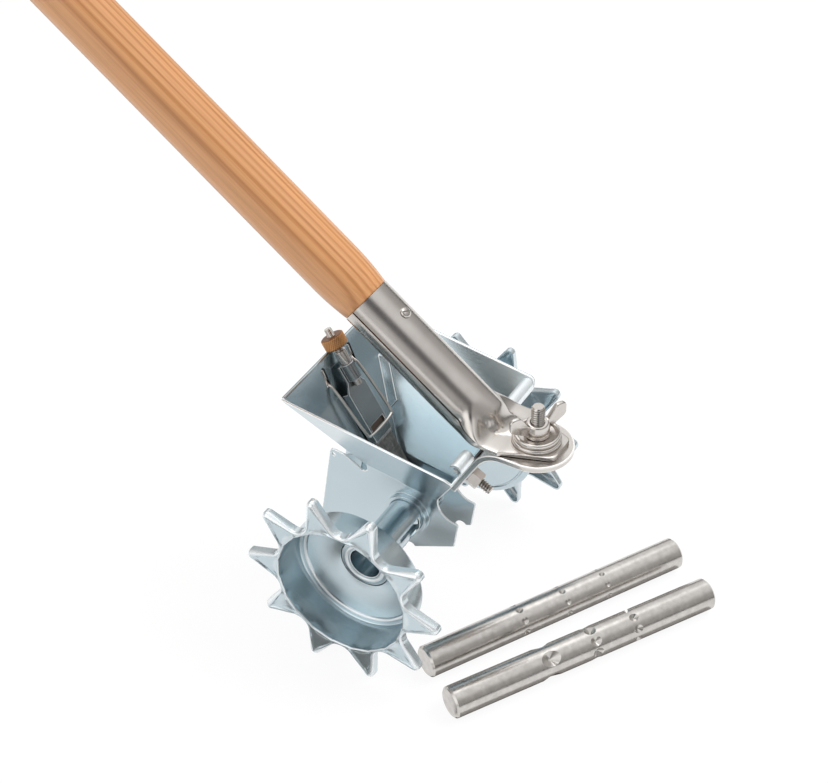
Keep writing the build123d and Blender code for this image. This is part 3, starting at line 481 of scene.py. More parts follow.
def rectangle(place, half_x, half_y, height=0.0):
    """The corners of a rectangle across the place's z axis."""
    corners = ((-half_x, -half_y), (half_x, -half_y), (half_x, half_y), (-half_x, half_y))
    return [place @ Vector((x, y, height)) for x, y in corners]


def block_shell(place, half_x, half_y, low, high):
    """A plain block in a local frame."""
    return skin([rectangle(place, half_x, half_y, height) for height in (low, high)])


def threaded_rings(place, radius, start, end, pitch, segments, steps=6):
    """Rings of a screw thread along the place's z axis, tapered at its end."""
    depth = THREAD_DEPTH * pitch
    rows = max(2, round((end - start) / pitch * steps))
    rings = []
    for row in range(rows + 1):
        height = mixed(start, end, row / rows)
        limit = radius - depth + (end - height) * THREAD_TAPER
        ring = []
        for k in range(segments):
            turn = 2 * pi * k / segments
            phase = (height / pitch - k / segments) % 1.0
            reach = min(radius - depth * abs(2 * phase - 1), limit)
            ring.append(place @ Vector((reach * cos(turn), reach * sin(turn), height)))
        rings.append(ring)
    return rings


def hexagon_rings(place, apothem, start, end):
    """Rings of a hexagon with both its ends turned to a chamfer."""
    rings = []
    inner = HEXAGON_FACE * apothem
    for height, sign in ((start, 1), (end, -1)):
        flat = round_ring(place, inner, height, BOLT_ROUND)
        edge = []
        for k in range(BOLT_ROUND):
            turn = 2 * pi * k / BOLT_ROUND
            reach = apothem / cos(turn % (pi / 3) - pi / 6)
            drop = sign * (reach - inner) * tan(pi / 6)
            edge.append(place @ Vector((reach * cos(turn), reach * sin(turn), height + drop)))
        rings += [flat, edge] if sign > 0 else [edge, flat]
    return rings


def paint_light(mesh, levels):
    """Set each point's painted light: painted highlight above 0, painted shade below 0."""
    mesh.attributes.new("rubbed", "FLOAT", "POINT").data.foreach_set("value", levels)


def shade_thread_grooves(mesh, place, radius, start, end, pitch):
    """Paint shade into the grooves of a thread up to its last turn."""
    into = place.inverted()
    levels = []
    for vertex in mesh.vertices:
        spot = into @ (vertex.co / MM)
        groove = (radius - hypot(spot.x, spot.y)) / (THREAD_DEPTH * pitch)
        threaded = start < spot.z < end - pitch
        levels.append(-THREAD_SHADE * min(max(groove, 0.0), 1.0) if threaded else 0.0)
    paint_light(mesh, levels)


# Object helpers
def new_object(name, mesh):
    """A linked object at the origin."""
    obj = bpy.data.objects.new(name, mesh)
    scene.collection.objects.link(obj)
    return obj


def closed_object(name, *shells):
    """A linked object made of closed shells that face outwards."""
    return new_object(name, facing_out(mesh_from(name, *shells)))


def moved(obj, place):
    """Put a mesh that stands at the origin into a local frame."""
    place = place.copy()
    place.translation *= MM
    obj.data.transform(place)


def baked(obj):
    """Replace an object's mesh with its evaluated one and drop its modifiers."""
    graph = bpy.context.evaluated_depsgraph_get()
    mesh = bpy.data.meshes.new_from_object(obj.evaluated_get(graph))
    obj.modifiers.clear()
    obj.data = mesh
    mesh.name = obj.name
    return mesh


def thickened(obj, thickness):
    """Give an open sheet its thickness, behind its faces."""
    wall = obj.modifiers.new("sheet", "SOLIDIFY")
    wall.thickness = thickness * MM
    wall.offset = -1
    baked(obj)


def carved(obj, cutter):
    """Cut one object out of another and remove it."""
    cut = obj.modifiers.new("cut", "BOOLEAN")
    cut.operation = "DIFFERENCE"
    cut.solver = "EXACT"
    cut.object = cutter
    baked(obj)
    bpy.data.objects.remove(cutter)


def shade(mesh):
    """Smooth shading with the sharp edges kept."""
    mesh.polygons.foreach_set("use_smooth", [True] * len(mesh.polygons))
    mesh.set_sharp_from_angle(angle=radians(SHADE_ANGLE))
    mesh.update()


def show(obj, body, slot, material, *nodes):
    """Finish a piece: its material, its body and the nodes it stands for; the slot is not used."""
    obj.data.materials.clear()
    obj.data.materials.append(material)
    shade(obj.data)
    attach(obj, body)
    if nodes:
        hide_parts(*nodes)
    return obj


def piece(name, body, slot, material, nodes, *shells):
    """A finished piece from closed shells."""
    return show(closed_object(name, *shells), body, slot, material, *nodes)


def softened(node, body, slot, material, width, name, light_level=None):
    """A copy of a node's solid with its sharp edges rounded and given a painted highlight, and its own
    painted light where given.
    """
    obj = new_object(name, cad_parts[node].data.copy())
    work = bmesh.new()
    work.from_mesh(obj.data)
    bmesh.ops.remove_doubles(work, verts=work.verts, dist=WELD)
    bmesh.ops.dissolve_limit(work, angle_limit=radians(FLAT_ANGLE), verts=work.verts, edges=work.edges)
    corner = radians(SHARP_ANGLE)
    sharp = [edge for edge in work.edges if edge.is_manifold and edge.calc_face_angle() > corner]
    light_layer = work.faces.layers.float.new("rubbed")
    rounded = bmesh.ops.bevel(
        work,
        geom=sharp,
        offset=width * MM,
        offset_type="OFFSET",
        segments=EDGE_SEGMENTS,
        profile=0.5,
        affect="EDGES",
    )
    # Painted highlight on the rounded edges
    for face in rounded["faces"]:
        face[light_layer] = 1.0
    for face in work.faces:
        amount = light_level(face.calc_center_median() / MM) if light_level else None
        if amount is not None:
            face[light_layer] = amount
        face.smooth = True
    work.to_mesh(obj.data)
    work.free()
    obj.modifiers.new("flat_faces", "WEIGHTED_NORMAL").keep_sharp = True
    baked(obj)
    return show(obj, body, slot, material, node)


# Node helpers
def set_up(node, **values):
    """Set a node's properties and named inputs, an underscore standing for a space."""
    for key, value in values.items():
        if hasattr(node, key):
            setattr(node, key, value)
        else:
            node.inputs[key.replace("_", " ")].default_value = value
    return node


def tree_node(tree, kind, links=(), **values):
    """Add a node, set it up and link outputs into its inputs."""
    node = set_up(tree.nodes.new(kind), **values)
    for label, output in links:
        tree.links.new(output, node.inputs[label])
    return node


def worked_out(tree, operation, first, second):
    """A maths node's output, from an output and an output or a plain number."""
    node = tree_node(tree, "ShaderNodeMath", [(0, first)], operation=operation)
    if isinstance(second, bpy.types.NodeSocket):
        tree.links.new(second, node.inputs[1])
    else:
        node.inputs[1].default_value = second
    return node.outputs[0]


# Geometry Nodes trees
def tree_with(name, **inputs):
    """A new tree with named inputs: the tree, its input sockets and the outputs that give their values."""
    tree = bpy.data.node_groups.new(name, "GeometryNodeTree")
    tree.interface.new_socket("Geometry", in_out="INPUT", socket_type="NodeSocketGeometry")
    sockets = {}
    for label, kind in inputs.items():
        sockets[label] = tree.interface.new_socket(label, in_out="INPUT", socket_type=f"NodeSocket{kind}")
    tree.interface.new_socket("Geometry", in_out="OUTPUT", socket_type="NodeSocketGeometry")
    return tree, sockets, tree.nodes.new("NodeGroupInput").outputs


def finish_tree(tree, geometry, material, welded):
    """End a tree in realized instances, welded where asked, and a set material."""
    solid = tree_node(tree, "GeometryNodeRealizeInstances", [("Geometry", geometry)])
    result = solid.outputs["Geometry"]
    if welded:
        merged = tree_node(tree, "GeometryNodeMergeByDistance", [("Geometry", result)], Distance=WIDE_WELD)
        result = merged.outputs["Geometry"]
    painted = tree_node(tree, "GeometryNodeSetMaterial", [("Geometry", result), ("Material", material)])
    output = tree.nodes.new("NodeGroupOutput")
    tree.links.new(painted.outputs["Geometry"], output.inputs["Geometry"])


def ring_tree():
    """Repeats the geometry round its z axis: a wheel's teeth, a knob's ribs, a rod's ring of pits."""
    tree, sockets, given = tree_with("round_the_axis", Count="Int", Material="Material")
    places = tree_node(tree, "GeometryNodeMeshLine", [("Count", given["Count"])], Offset=(0, 0, 0))
    index = tree.nodes.new("GeometryNodeInputIndex").outputs[0]
    turn = worked_out(tree, "MULTIPLY", worked_out(tree, "DIVIDE", index, given["Count"]), 2 * pi)
    rotation = tree_node(tree, "ShaderNodeCombineXYZ", [("Z", turn)])
    spread = tree_node(
        tree,
        "GeometryNodeInstanceOnPoints",
        [
            ("Points", places.outputs["Mesh"]),
            ("Instance", given["Geometry"]),
            ("Rotation", rotation.outputs[0]),
        ],
    )
    finish_tree(tree, spread.outputs["Instances"], given["Material"], True)
    return tree, sockets


def spot_tree():
    """Puts one object on each point of the geometry: fixings and weld spots."""
    tree, sockets, given = tree_with("on_the_spots", Fixing="Object", Material="Material")
    fixing = tree_node(tree, "GeometryNodeObjectInfo", [("Object", given["Fixing"])])
    spread = tree_node(
        tree,
        "GeometryNodeInstanceOnPoints",
        [("Points", given["Geometry"]), ("Instance", fixing.outputs["Geometry"])],
    )
    finish_tree(tree, spread.outputs["Instances"], given["Material"], False)
    return tree, sockets


def bristle_tree():
    """A block of tapered bristles standing on a grid, each leaning and ending a little differently."""
    tree, sockets, given = tree_with(
        "bristle_block",
        Spread="Float",
        Depth="Float",
        Length="Float",
        Thickness="Float",
        Columns="Int",
        Rows="Int",
        Seed="Int",
        Material="Material",
    )
    grid = tree_node(
        tree,
        "GeometryNodeMeshGrid",
        [
            ("Size X", given["Spread"]),
            ("Size Y", given["Depth"]),
            ("Vertices X", given["Columns"]),
            ("Vertices Y", given["Rows"]),
        ],
    )
    bristle = tree_node(
        tree,
        "GeometryNodeMeshCone",
        [("Radius Bottom", given["Thickness"]), ("Depth", given["Length"])],
        Vertices=4,
        Radius_Top=BRISTLE_TIP_RADIUS * MM,
    )
    lean = tree_node(
        tree,
        "FunctionNodeRandomValue",
        [("Seed", given["Seed"])],
        data_type="FLOAT_VECTOR",
        Min=(-BRISTLE_LEAN, -BRISTLE_LEAN, 0),
        Max=(BRISTLE_LEAN, BRISTLE_LEAN, pi),
    )
    length = tree_node(tree, "FunctionNodeRandomValue", [("Seed", given["Seed"])], data_type="FLOAT")
    length.inputs[2].default_value = BRISTLE_SHORTEST
    length.inputs[3].default_value = 1.0
    scale = tree_node(tree, "ShaderNodeCombineXYZ", [("Z", length.outputs[1])], X=1.0, Y=1.0)
    spread = tree_node(
        tree,
        "GeometryNodeInstanceOnPoints",
        [
            ("Points", grid.outputs["Mesh"]),
            ("Instance", bristle.outputs["Mesh"]),
            ("Rotation", lean.outputs[0]),
            ("Scale", scale.outputs[0]),
        ],
    )
    finish_tree(tree, spread.outputs["Instances"], given["Material"], False)
    return tree, sockets


def grown(obj, tree_and_sockets, **values):
    """Run a tree on an object with its named inputs set and keep the plain mesh."""
    tree, sockets = tree_and_sockets
    modifier = obj.modifiers.new(tree.name, "NODES")
    modifier.node_group = tree
    for label, value in values.items():
        modifier[sockets[label].identifier] = value
    baked(obj)


# Materials
def material_with(name):
    """A new material, its tree and its shader."""
    material = bpy.data.materials.new(name)
    material.use_nodes = True
    tree = material.node_tree
    return material, tree, tree.nodes["Principled BSDF"]


def feed(tree, shader, **outputs):
    """Link outputs into a shader's named inputs, an underscore standing for a space."""
    for key, output in outputs.items():
        tree.links.new(output, shader.inputs[key.replace("_", " ")])


def stretched(tree, scale=(1, 1, 1), turn=(0, 0, 0)):
    """Object coordinates turned and stretched for a pattern that runs one way."""
    where = tree.nodes.new("ShaderNodeTexCoord").outputs["Object"]
    mapping = tree_node(
        tree, "ShaderNodeMapping", [("Vector", where)], vector_type="TEXTURE", Rotation=turn, Scale=scale
    )
    return mapping.outputs["Vector"]


def noise(tree, vector, scale, detail):
    """A noise pattern's plain output."""
    node = tree_node(tree, "ShaderNodeTexNoise", [("Vector", vector)], Scale=scale, Detail=detail)
    return node.outputs["Fac"]


def ramp(tree, value, *stops):
    """A colour ramp over a value, from (position, colour) stops."""
    node = tree_node(tree, "ShaderNodeValToRGB", [("Fac", value)])
    elements = node.color_ramp.elements
    elements[0].position, elements[0].color = stops[0][0], (*stops[0][1], 1)
    elements[1].position, elements[1].color = stops[-1][0], (*stops[-1][1], 1)
    for position, colour in stops[1:-1]:
        elements.new(position).color = (*colour, 1)
    return node.outputs["Color"]


def ranged(tree, value, old_range, new_range):
    """A value moved from one range to another."""
    node = tree_node(
        tree,
        "ShaderNodeMapRange",
        [("Value", value)],
        From_Min=old_range[0],
        From_Max=old_range[1],
        To_Min=new_range[0],
        To_Max=new_range[1],
    )
    return node.outputs["Result"]


def toned(tree, factor, colour, tone):
    """A colour mixed towards a plain tone."""
    mix = tree_node(tree, "ShaderNodeMix", [("Factor", factor), (6, colour)], data_type="RGBA")
    mix.inputs[7].default_value = (*tone, 1)
    return mix.outputs[2]


def bumped(tree, shader, height, strength, distance):
    """Give the shader a fine bump."""
    bump = tree_node(tree, "ShaderNodeBump", [("Height", height)], Strength=strength, Distance=distance * MM)
    feed(tree, shader, Normal=bump.outputs["Normal"])


# Tone of painted shade, and how metallic a painted highlight is
PAINTED_SHADE = (0.03, 0.028, 0.026)
PAINTED_HIGHLIGHT_METALLIC = 0.45


def metal(name, pale, dull, polish, grain, streak, rubbed):
    """Plated metal: clouded colour, uneven polish, fine rolling streaks, painted highlights bright and less
    metallic, painted shade dark.
    """
    material, tree, shader = material_with(name)
    colour = ramp(tree, noise(tree, stretched(tree), scale=grain, detail=3.0), (0.32, dull), (0.68, pale))
    edges = tree_node(tree, "ShaderNodeAttribute", attribute_name="rubbed").outputs["Fac"]
    # Painted highlight above 0 and painted shade below 0
    for full, tone in ((1.0, rubbed), (-1.0, PAINTED_SHADE)):
        colour = toned(tree, ranged(tree, edges, (0.0, full), (0.0, 1.0)), colour, tone)
    lines = noise(tree, stretched(tree, streak), scale=1400.0, detail=2.0)
    feed(
        tree,
        shader,
        Base_Color=colour,
        Metallic=ranged(tree, edges, (0.0, 1.0), (1.0, PAINTED_HIGHLIGHT_METALLIC)),
        Roughness=ranged(tree, lines, (0.25, 0.75), polish),
    )
    bumped(tree, shader, lines, strength=0.05, distance=0.02)
    return material


def pole_wood():
    """Oiled softwood: long growth lines along the pole, pale between them, with fine pores."""
    material, tree, shader = material_with("pole_wood")
    turn = (0, radians(HANDLE_RISE), 0)
    growth = tree_node(
        tree,
        "ShaderNodeTexWave",
        [("Vector", stretched(tree, (24.0, 1.0, 1.0), turn))],
        wave_type="BANDS",
        bands_direction="Y",
        Scale=76.0,
        Distortion=2.2,
        Detail=1.0,
        Detail_Scale=1.4,
    )
    lines = ramp(
        tree,
        growth.outputs["Fac"],
        (0.0, (0.575, 0.286, 0.120)),
        (0.55, (0.545, 0.260, 0.103)),
        (0.9, (0.455, 0.200, 0.071)),
        (1.0, (0.425, 0.182, 0.063)),
    )
    pores = noise(tree, stretched(tree, (60.0, 1.0, 1.0), turn), scale=900.0, detail=2.0)
    # Darker in the pores: the wood's own colour
    shadow = ramp(tree, pores, (0.3, (0.84, 0.82, 0.80)), (0.62, (1.0, 1.0, 1.0)))
    mix = tree_node(tree, "ShaderNodeMix", [(6, lines), (7, shadow)], data_type="RGBA", blend_type="MULTIPLY")
    mix.inputs["Factor"].default_value = 1.0
    feed(tree, shader, Base_Color=mix.outputs[2], Roughness=ranged(tree, pores, (0.3, 0.7), (0.5, 0.4)))
    set_up(shader, Coat_Weight=0.5, Coat_Roughness=0.35)
    bumped(tree, shader, pores, strength=0.2, distance=0.08)
    return material


def brush_wood():
    """Plain darker wood of the brush's back."""
    material, tree, shader = material_with("brush_wood")
    grain = noise(tree, stretched(tree, (1.0, 12.0, 1.0)), scale=420.0, detail=4.0)
    tone = ramp(tree, grain, (0.3, (0.035, 0.027, 0.022)), (0.7, (0.07, 0.05, 0.038)))
    feed(tree, shader, Base_Color=tone, Roughness=ranged(tree, grain, (0.3, 0.7), (0.6, 0.5)))
    bumped(tree, shader, grain, strength=0.3, distance=0.1)
    return material


def bristle_fibre():
    """Dark fibre, a little lighter here and there."""
    material, tree, shader = material_with("bristle_fibre")
    shift = noise(tree, stretched(tree), scale=700.0, detail=2.0)
    tone = ramp(tree, shift, (0.3, (0.10, 0.105, 0.105)), (0.7, (0.22, 0.22, 0.21)))
    feed(tree, shader, Base_Color=tone, Roughness=ranged(tree, shift, (0.3, 0.7), (0.38, 0.5)))
    return material


def knob_brass(axis_point, axis_dir):
    """Copper-brown knob: bright on the ribs' crests, dark in the grooves."""
    material, tree, shader = material_with("knob_brass")
    set_up(shader, Metallic=0.4)
    where = tree.nodes.new("ShaderNodeTexCoord").outputs["Object"]
    apart = tree_node(tree, "ShaderNodeVectorMath", [(0, where)], operation="SUBTRACT")
    apart.inputs[1].default_value = axis_point * MM
    cross = tree_node(tree, "ShaderNodeVectorMath", [(0, apart.outputs[0])], operation="CROSS_PRODUCT")
    cross.inputs[1].default_value = axis_dir
    reach = tree_node(tree, "ShaderNodeVectorMath", [(0, cross.outputs[0])], operation="LENGTH")
    groove = (KNOB_RADIUS - KNOB_GROOVE) * MM
    crest = ranged(tree, reach.outputs["Value"], (groove, KNOB_RADIUS * MM), (0.0, 1.0))
    tone = ramp(tree, crest, (0.0, (0.20, 0.085, 0.03)), (1.0, (0.80, 0.40, 0.16)))
    speck = noise(tree, stretched(tree), scale=900.0, detail=3.0)
    feed(tree, shader, Base_Color=tone, Roughness=ranged(tree, speck, (0.3, 0.7), (0.32, 0.5)))
    bumped(tree, shader, speck, strength=0.25, distance=0.1)
    return material


# Directions of the brush and the hopper's end walls
brush_pitch = atan2(RIM_HEIGHT, RIM_NOSE) + radians(BRUSH_TURN)
BRUSH_UP = pitched(-cos(brush_pitch), sin(brush_pitch))
BRUSH_OVER = pitched(sin(brush_pitch), cos(brush_pitch))
stud_place = placed(BRUSH_OVER * STUD_HEIGHT, ACROSS, BRUSH_UP)
brush_lean = (RIM_NOSE - FOLD_NOSE) / (RIM_HEIGHT - FOLD_HEIGHT)
brush_norm = hypot(brush_lean, 1)
wall_up = pitched(-brush_lean / brush_norm, 1 / brush_norm)
wall_in = pitched(1 / brush_norm, brush_lean / brush_norm)
rim_point = pitched(-RIM_NOSE, RIM_HEIGHT)
back_lean = (RIM_BACK - FOLD_BACK) / (RIM_HEIGHT - FOLD_HEIGHT)
back_norm = hypot(back_lean, 1)
back_out = pitched(1 / back_norm, -back_lean / back_norm)
roll_middle = pitched(RIM_BACK - ROLL_DROP * back_lean, RIM_HEIGHT - ROLL_DROP) - back_out * ROLL_RADIUS

# Finishes
ZINC = metal(
    "zinc_sheet",
    pale=(0.58, 0.67, 0.71),
    dull=(0.54, 0.63, 0.67),
    polish=(0.20, 0.27),
    grain=22.0,
    streak=(30.0, 1.0, 1.0),
    rubbed=(0.93, 0.95, 0.96),
)
STEEL = metal(
    "plated_steel",
    pale=(0.69, 0.655, 0.62),
    dull=(0.62, 0.585, 0.55),
    polish=(0.17, 0.25),
    grain=60.0,
    streak=(1.0, 20.0, 1.0),
    rubbed=(0.92, 0.90, 0.88),
)
DARK_STEEL = metal(
    "carrier_steel",
    pale=(0.42, 0.44, 0.45),
    dull=(0.36, 0.38, 0.39),
    polish=(0.18, 0.26),
    grain=60.0,
    streak=(1.0, 20.0, 1.0),
    rubbed=(0.75, 0.76, 0.76),
)
# Rod steel's tone: partly its own, partly set darker as painted shade against the bright overhead soft box
ROD = metal(
    "rod_steel",
    pale=(0.65, 0.625, 0.60),
    dull=(0.55, 0.525, 0.50),
    polish=(0.18, 0.27),
    grain=240.0,
    streak=(1.0, 6.0, 1.0),
    rubbed=(0.9, 0.89, 0.88),
)
WOOD = pole_wood()
BACK = brush_wood()
FIBRE = bristle_fibre()
BRASS = knob_brass(BRUSH_OVER * STUD_HEIGHT, BRUSH_UP)

ROUND = ring_tree()
SPOTS = spot_tree()


# Sheet pieces with rounded edges, painted highlights and painted shade
def slot_shade(point):
    """Painted shade on the inside of the bail's slots."""
    from_rim = point - rim_point
    across = abs(abs(point.y) - BAIL_HALF) < SLOT_HALF
    along = -BAIL_DROP - SLOT_BELOW < from_rim.dot(wall_up) < -SLOT_TOP
    inside = abs(from_rim.dot(wall_in) - SHEET / 2) < SHEET / 2
    return -1.0 if across and along and inside else None


def collar_no_highlight(point):
    """No painted highlight round the bearing collar."""
    return 0.0 if hypot(point.x, point.z) < COLLAR_REACH else None


def roll_highlight(point):
    """Painted highlight on the rolled top of the wall."""
    from_roll = point - roll_middle
    return ROLL_HIGHLIGHT if hypot(from_roll.x, from_roll.z) < ROLL_RADIUS + ROLL_MARGIN else None


softened("side_sheet_near", "frame", "zinc_sheet", ZINC, SIDE_EDGE, "near_side_sheet", collar_no_highlight)
softened("side_sheet_far", "frame", "zinc_sheet", ZINC, SIDE_EDGE, "far_side_sheet", collar_no_highlight)
softened("brush_wall", "frame", "zinc_sheet", ZINC, THIN_EDGE, "brush_end_wall", slot_shade)
softened("bracket_wall", "frame", "zinc_sheet", ZINC, WALL_EDGE, "bracket_end_wall", roll_highlight)
softened("furrow_nose", "frame", "zinc_sheet", ZINC, THIN_EDGE, "furrow_opener")
softened("handle_bracket", "frame", "zinc_sheet", STEEL, STRAP_EDGE, "bracket_strap")
near_sleeve = softened("sleeve_near", "near_wheel", "zinc_sheet", ZINC, SLEEVE_EDGE, "near_sleeve")
near_sleeve.data.transform(Matrix.Rotation(radians(-SLEEVE_TURN), 4, "Y"))
softened("sleeve_far", "far_wheel", "zinc_sheet", ZINC, SLEEVE_EDGE, "far_sleeve")
softened("brush_carrier", "brush", "plated_steel", DARK_STEEL, THIN_EDGE, "carrier_channel")
softened("brush_back", "brush", "brush_wood", BACK, WALL_EDGE, "brush_block")


# Toothed pan wheels
def tooth_outline():
    """One tooth's outline from scallop to scallop: points, outward directions and shoulder radii."""
    half_pitch = pi / TOOTH_COUNT
    tip_centre = Vector((TOOTH_TIP - TOOTH_TIP_ROUND, 0))
    scallop_facing = Vector((cos(half_pitch), sin(half_pitch)))
    scallop_centre = scallop_facing * (SCALLOP_BOTTOM + SCALLOP_ROUND)
    toward = tip_centre - scallop_centre
    turn = acos((TOOTH_TIP_ROUND + SCALLOP_ROUND) / toward.length)
    outward = -(Matrix.Rotation(-turn, 2) @ toward.normalized())
    head = tip_centre + outward * TOOTH_TIP_ROUND
    foot = scallop_centre - outward * SCALLOP_ROUND
    half = []
    tip_steps, flank_steps, scallop_steps = 7, 5, 7
    for step in range(tip_steps):
        facing = Vector((1, 0)).slerp(outward, step / tip_steps)
        half.append((tip_centre + facing * TOOTH_TIP_ROUND, facing, TIP_SHOULDER))
    for step in range(flank_steps):
        share = step / flank_steps
        shoulder = mixed(TIP_SHOULDER, FLANK_SHOULDER, smooth_step(share))
        half.append((head.lerp(foot, share), outward, shoulder))
    for step in range(scallop_steps + 1):
        share = step / scallop_steps
        facing = outward.slerp(scallop_facing, share)
        shoulder = mixed(FLANK_SHOULDER, SCALLOP_SHOULDER, share)
        half.append((scallop_centre - facing * SCALLOP_ROUND, facing, shoulder))
    mirrored = []
    for point, facing, shoulder in half[:0:-1]:
        mirrored.append((Vector((point.x, -point.y)), Vector((facing.x, -facing.y)), shoulder))
    return mirrored + half


def mouth_radius(turn):
    """The pan's mouth: round, but folded along a straight line at each tooth's base."""
    share = 1 - smooth_step((abs(turn) - radians(CHORD_FADE)) / radians(CHORD_END - CHORD_FADE))
    return PAN_INNER + (CHORD / cos(turn) - PAN_INNER) * share


def pan_profile():
    """Radius and depth of the pan from its wall over the floor's bead to the hub's bore."""

    def floor_point(radius):
        rise = (FLANGE_FACE - PAN_FLOOR) / (PAN_INNER - FLANGE_REACH)
        return Vector((radius, PAN_FLOOR + (PAN_INNER - radius) * rise))

    bead_start = BEAD_MIDDLE + BEAD_HALF
    profile = eased(
        [
            (PAN_INNER, WALL_MIDDLE, 0),
            (PAN_INNER, PAN_FLOOR, PAN_FOOT_ROUND),
            (*floor_point(bead_start), 0),
        ]
    )
    bead_steps = 8
    for step in range(1, bead_steps):
        swell = BEAD_RISE * sin(pi * step / bead_steps) ** BEAD_FULLNESS
        profile.append(floor_point(bead_start - 2 * BEAD_HALF * step / bead_steps) - Vector((0, swell)))
    profile += [floor_point(radius) for radius in (BEAD_MIDDLE - BEAD_HALF, *FLOOR_STATIONS)]
    profile += eased(
        [
            (*profile[-1], 0),
            (FLANGE_REACH, FLANGE_FACE, FLANGE_ROUND),
            (FLANGE_REACH, HUB_FLOOR, FLANGE_ROUND),
            (HUB_BORE, HUB_FLOOR, 0),
        ],
        steps=3,
    )[1:]
    return profile


def tooth_sector():
    """One tooth with its share of the pan, and the painted light of each of its points."""
    outline = tooth_outline()
    turns = [atan2(point.y, point.x) for point, facing, shoulder in outline]
    rings = []
    rubbed = []

    def add_ring(points, light_level):
        rings.append(points)
        rubbed.extend([light_level] * len(points))

    def add_round_ring(reach_at, depth, light_level):
        ring = []
        for turn in turns:
            ring.append(Vector((reach_at(turn) * cos(turn), reach_at(turn) * sin(turn), depth)))
        add_ring(ring, light_level)

    for share in (1.0, 0.5, 0.0):
        ring = []
        for point, facing, shoulder in outline:
            ring.append(Vector((*point, mixed(shoulder, TOOTH_DEPTH, share))))
        add_ring(ring, TOOTH_SIDE_HIGHLIGHT)
    # Painted highlight along the middle of each shoulder
    shoulder_steps = 6
    for step in range(1, shoulder_steps + 1):
        lean = pi / 2 * step / shoulder_steps
        ring = []
        for point, facing, shoulder in outline:
            edge = point - facing * (shoulder * (1 - cos(lean)))
            ring.append(Vector((*edge, shoulder * (1 - sin(lean)))))
        add_ring(ring, SHOULDER_HIGHLIGHT * sin(pi * step / shoulder_steps))
    for share, sunk, light_level in FACE_STATIONS:
        ring = []
        for (point, facing, shoulder), turn in zip(outline, turns):
            mouth = Vector((cos(turn), sin(turn))) * (mouth_radius(turn) + MOUTH_FOLD)
            edge = point - facing * shoulder
            recess = FACE_RECESS * sunk * smooth_step((edge - mouth).length / RECESS_REACH)
            ring.append(Vector((*edge.lerp(mouth, share), recess)))
        add_ring(ring, light_level)
    # Painted highlight along the middle of the mouth's fold
    fold_steps = 4
    for step in range(fold_steps + 1):
        lean = pi / 2 * step / fold_steps
        fold = MOUTH_FOLD * (1 - sin(lean))
        depth = MOUTH_FOLD * (1 - cos(lean))
        light_level = MOUTH_HIGHLIGHT * sin(pi * step / fold_steps)
        add_round_ring(lambda turn: mouth_radius(turn) + fold, depth, light_level)
    for depth in WALL_STATIONS:
        share = smooth_step(depth / WALL_FOLD)
        add_round_ring(lambda turn: mixed(mouth_radius(turn), PAN_INNER, share), depth, 0.0)
    for radius, depth in pan_profile():
        # Painted highlight on the middle of the bead
        bright = abs(radius - BEAD_MIDDLE) < BEAD_HALF * BEAD_BRIGHT
        add_round_ring(lambda turn: radius, depth, BEAD_HIGHLIGHT if bright else 0.0)
    mesh = mesh_from("tooth_sector", skin(rings, closed=False, caps=False, flip=True))
    paint_light(mesh, rubbed)
    return mesh


def pan_wheel(side, phase, name):
    """A whole wheel in its place on the axle."""
    obj = new_object(f"{name}_pan_wheel", tooth_sector())
    grown(obj, ROUND, Count=TOOTH_COUNT, Material=ZINC)
    thickened(obj, PAN_WALL)
    turn = radians(phase)
    moved(obj, placed((0, side * TOOTH_PLANE, 0), (cos(turn), 0, sin(turn)), (0, -side, 0)))
    show(obj, f"{name}_wheel", "zinc_sheet", ZINC, f"wheel_{name}")


def flange_lip(side, name):
    """The rounded lip of the sleeve's flange round its bore, with a painted highlight."""
    place = placed((0, side * (TOOTH_PLANE - FLANGE_FACE), 0), (1, 0, 0), (0, side, 0))
    steps = 8
    profile = []
    for step in range(steps + 1):
        lean = pi * step / steps
        profile.append(Vector((LIP_MIDDLE + LIP_HALF * cos(lean), LIP_RISE * sin(lean))))
    lip = turned(place, profile, WIDE_ROUND, loop=True)
    obj = piece(f"{name}_flange_lip", f"{name}_wheel", "zinc_sheet", ZINC, [], lip)
    paint_light(obj.data, [LIP_HIGHLIGHT] * len(obj.data.vertices))


for wheel_side, wheel_phase, wheel_name in WHEELS:
    pan_wheel(wheel_side, wheel_phase, wheel_name)
    flange_lip(wheel_side, wheel_name)


# Bracket fixings: hexagon bolts from inside the hopper and their nuts, two of each
def on_spots(name, body, slot, material, spots, shell, *nodes, thread=None):
    """The same small part on each spot."""
    part = closed_object(name + "_one", shell)
    if thread:
        shade_thread_grooves(part.data, *thread)
    obj = new_object(name, mesh_from(name + "_spots", (spots, [])))
    grown(obj, SPOTS, Fixing=part, Material=material)
    bpy.data.objects.remove(part)
    return show(obj, body, slot, material, *nodes)


fixing_spot = pitched(FOLD_BACK + (FIXING_HEIGHT - FOLD_HEIGHT) * back_lean, FIXING_HEIGHT)
fixing_turn = placed((0, 0, 0), ACROSS, back_out)
fixing_spots = [fixing_spot + ACROSS * (hand * FIXING_SPREAD) for hand in (-1, 1)]
bolt_end = STRAP + FIXING_END
bolt_rings = hexagon_rings(fixing_turn, FIXING_APOTHEM, -SHEET - FIXING_HEAD, -SHEET)
bolt_rings.append(round_ring(fixing_turn, FIXING_RADIUS, -SHEET, BOLT_ROUND))
bolt_rings += threaded_rings(
    fixing_turn, FIXING_RADIUS, STRAP - THREAD_LEAD, bolt_end, FIXING_PITCH, BOLT_ROUND
)
on_spots(
    "wall_bolts",
    "frame",
    "plated_steel",
    STEEL,
    fixing_spots,
    skin(bolt_rings),
    "bracket_bolts",
    thread=(fixing_turn, FIXING_RADIUS, STRAP, bolt_end, FIXING_PITCH),
)
nut_top = STRAP + FIXING_NUT
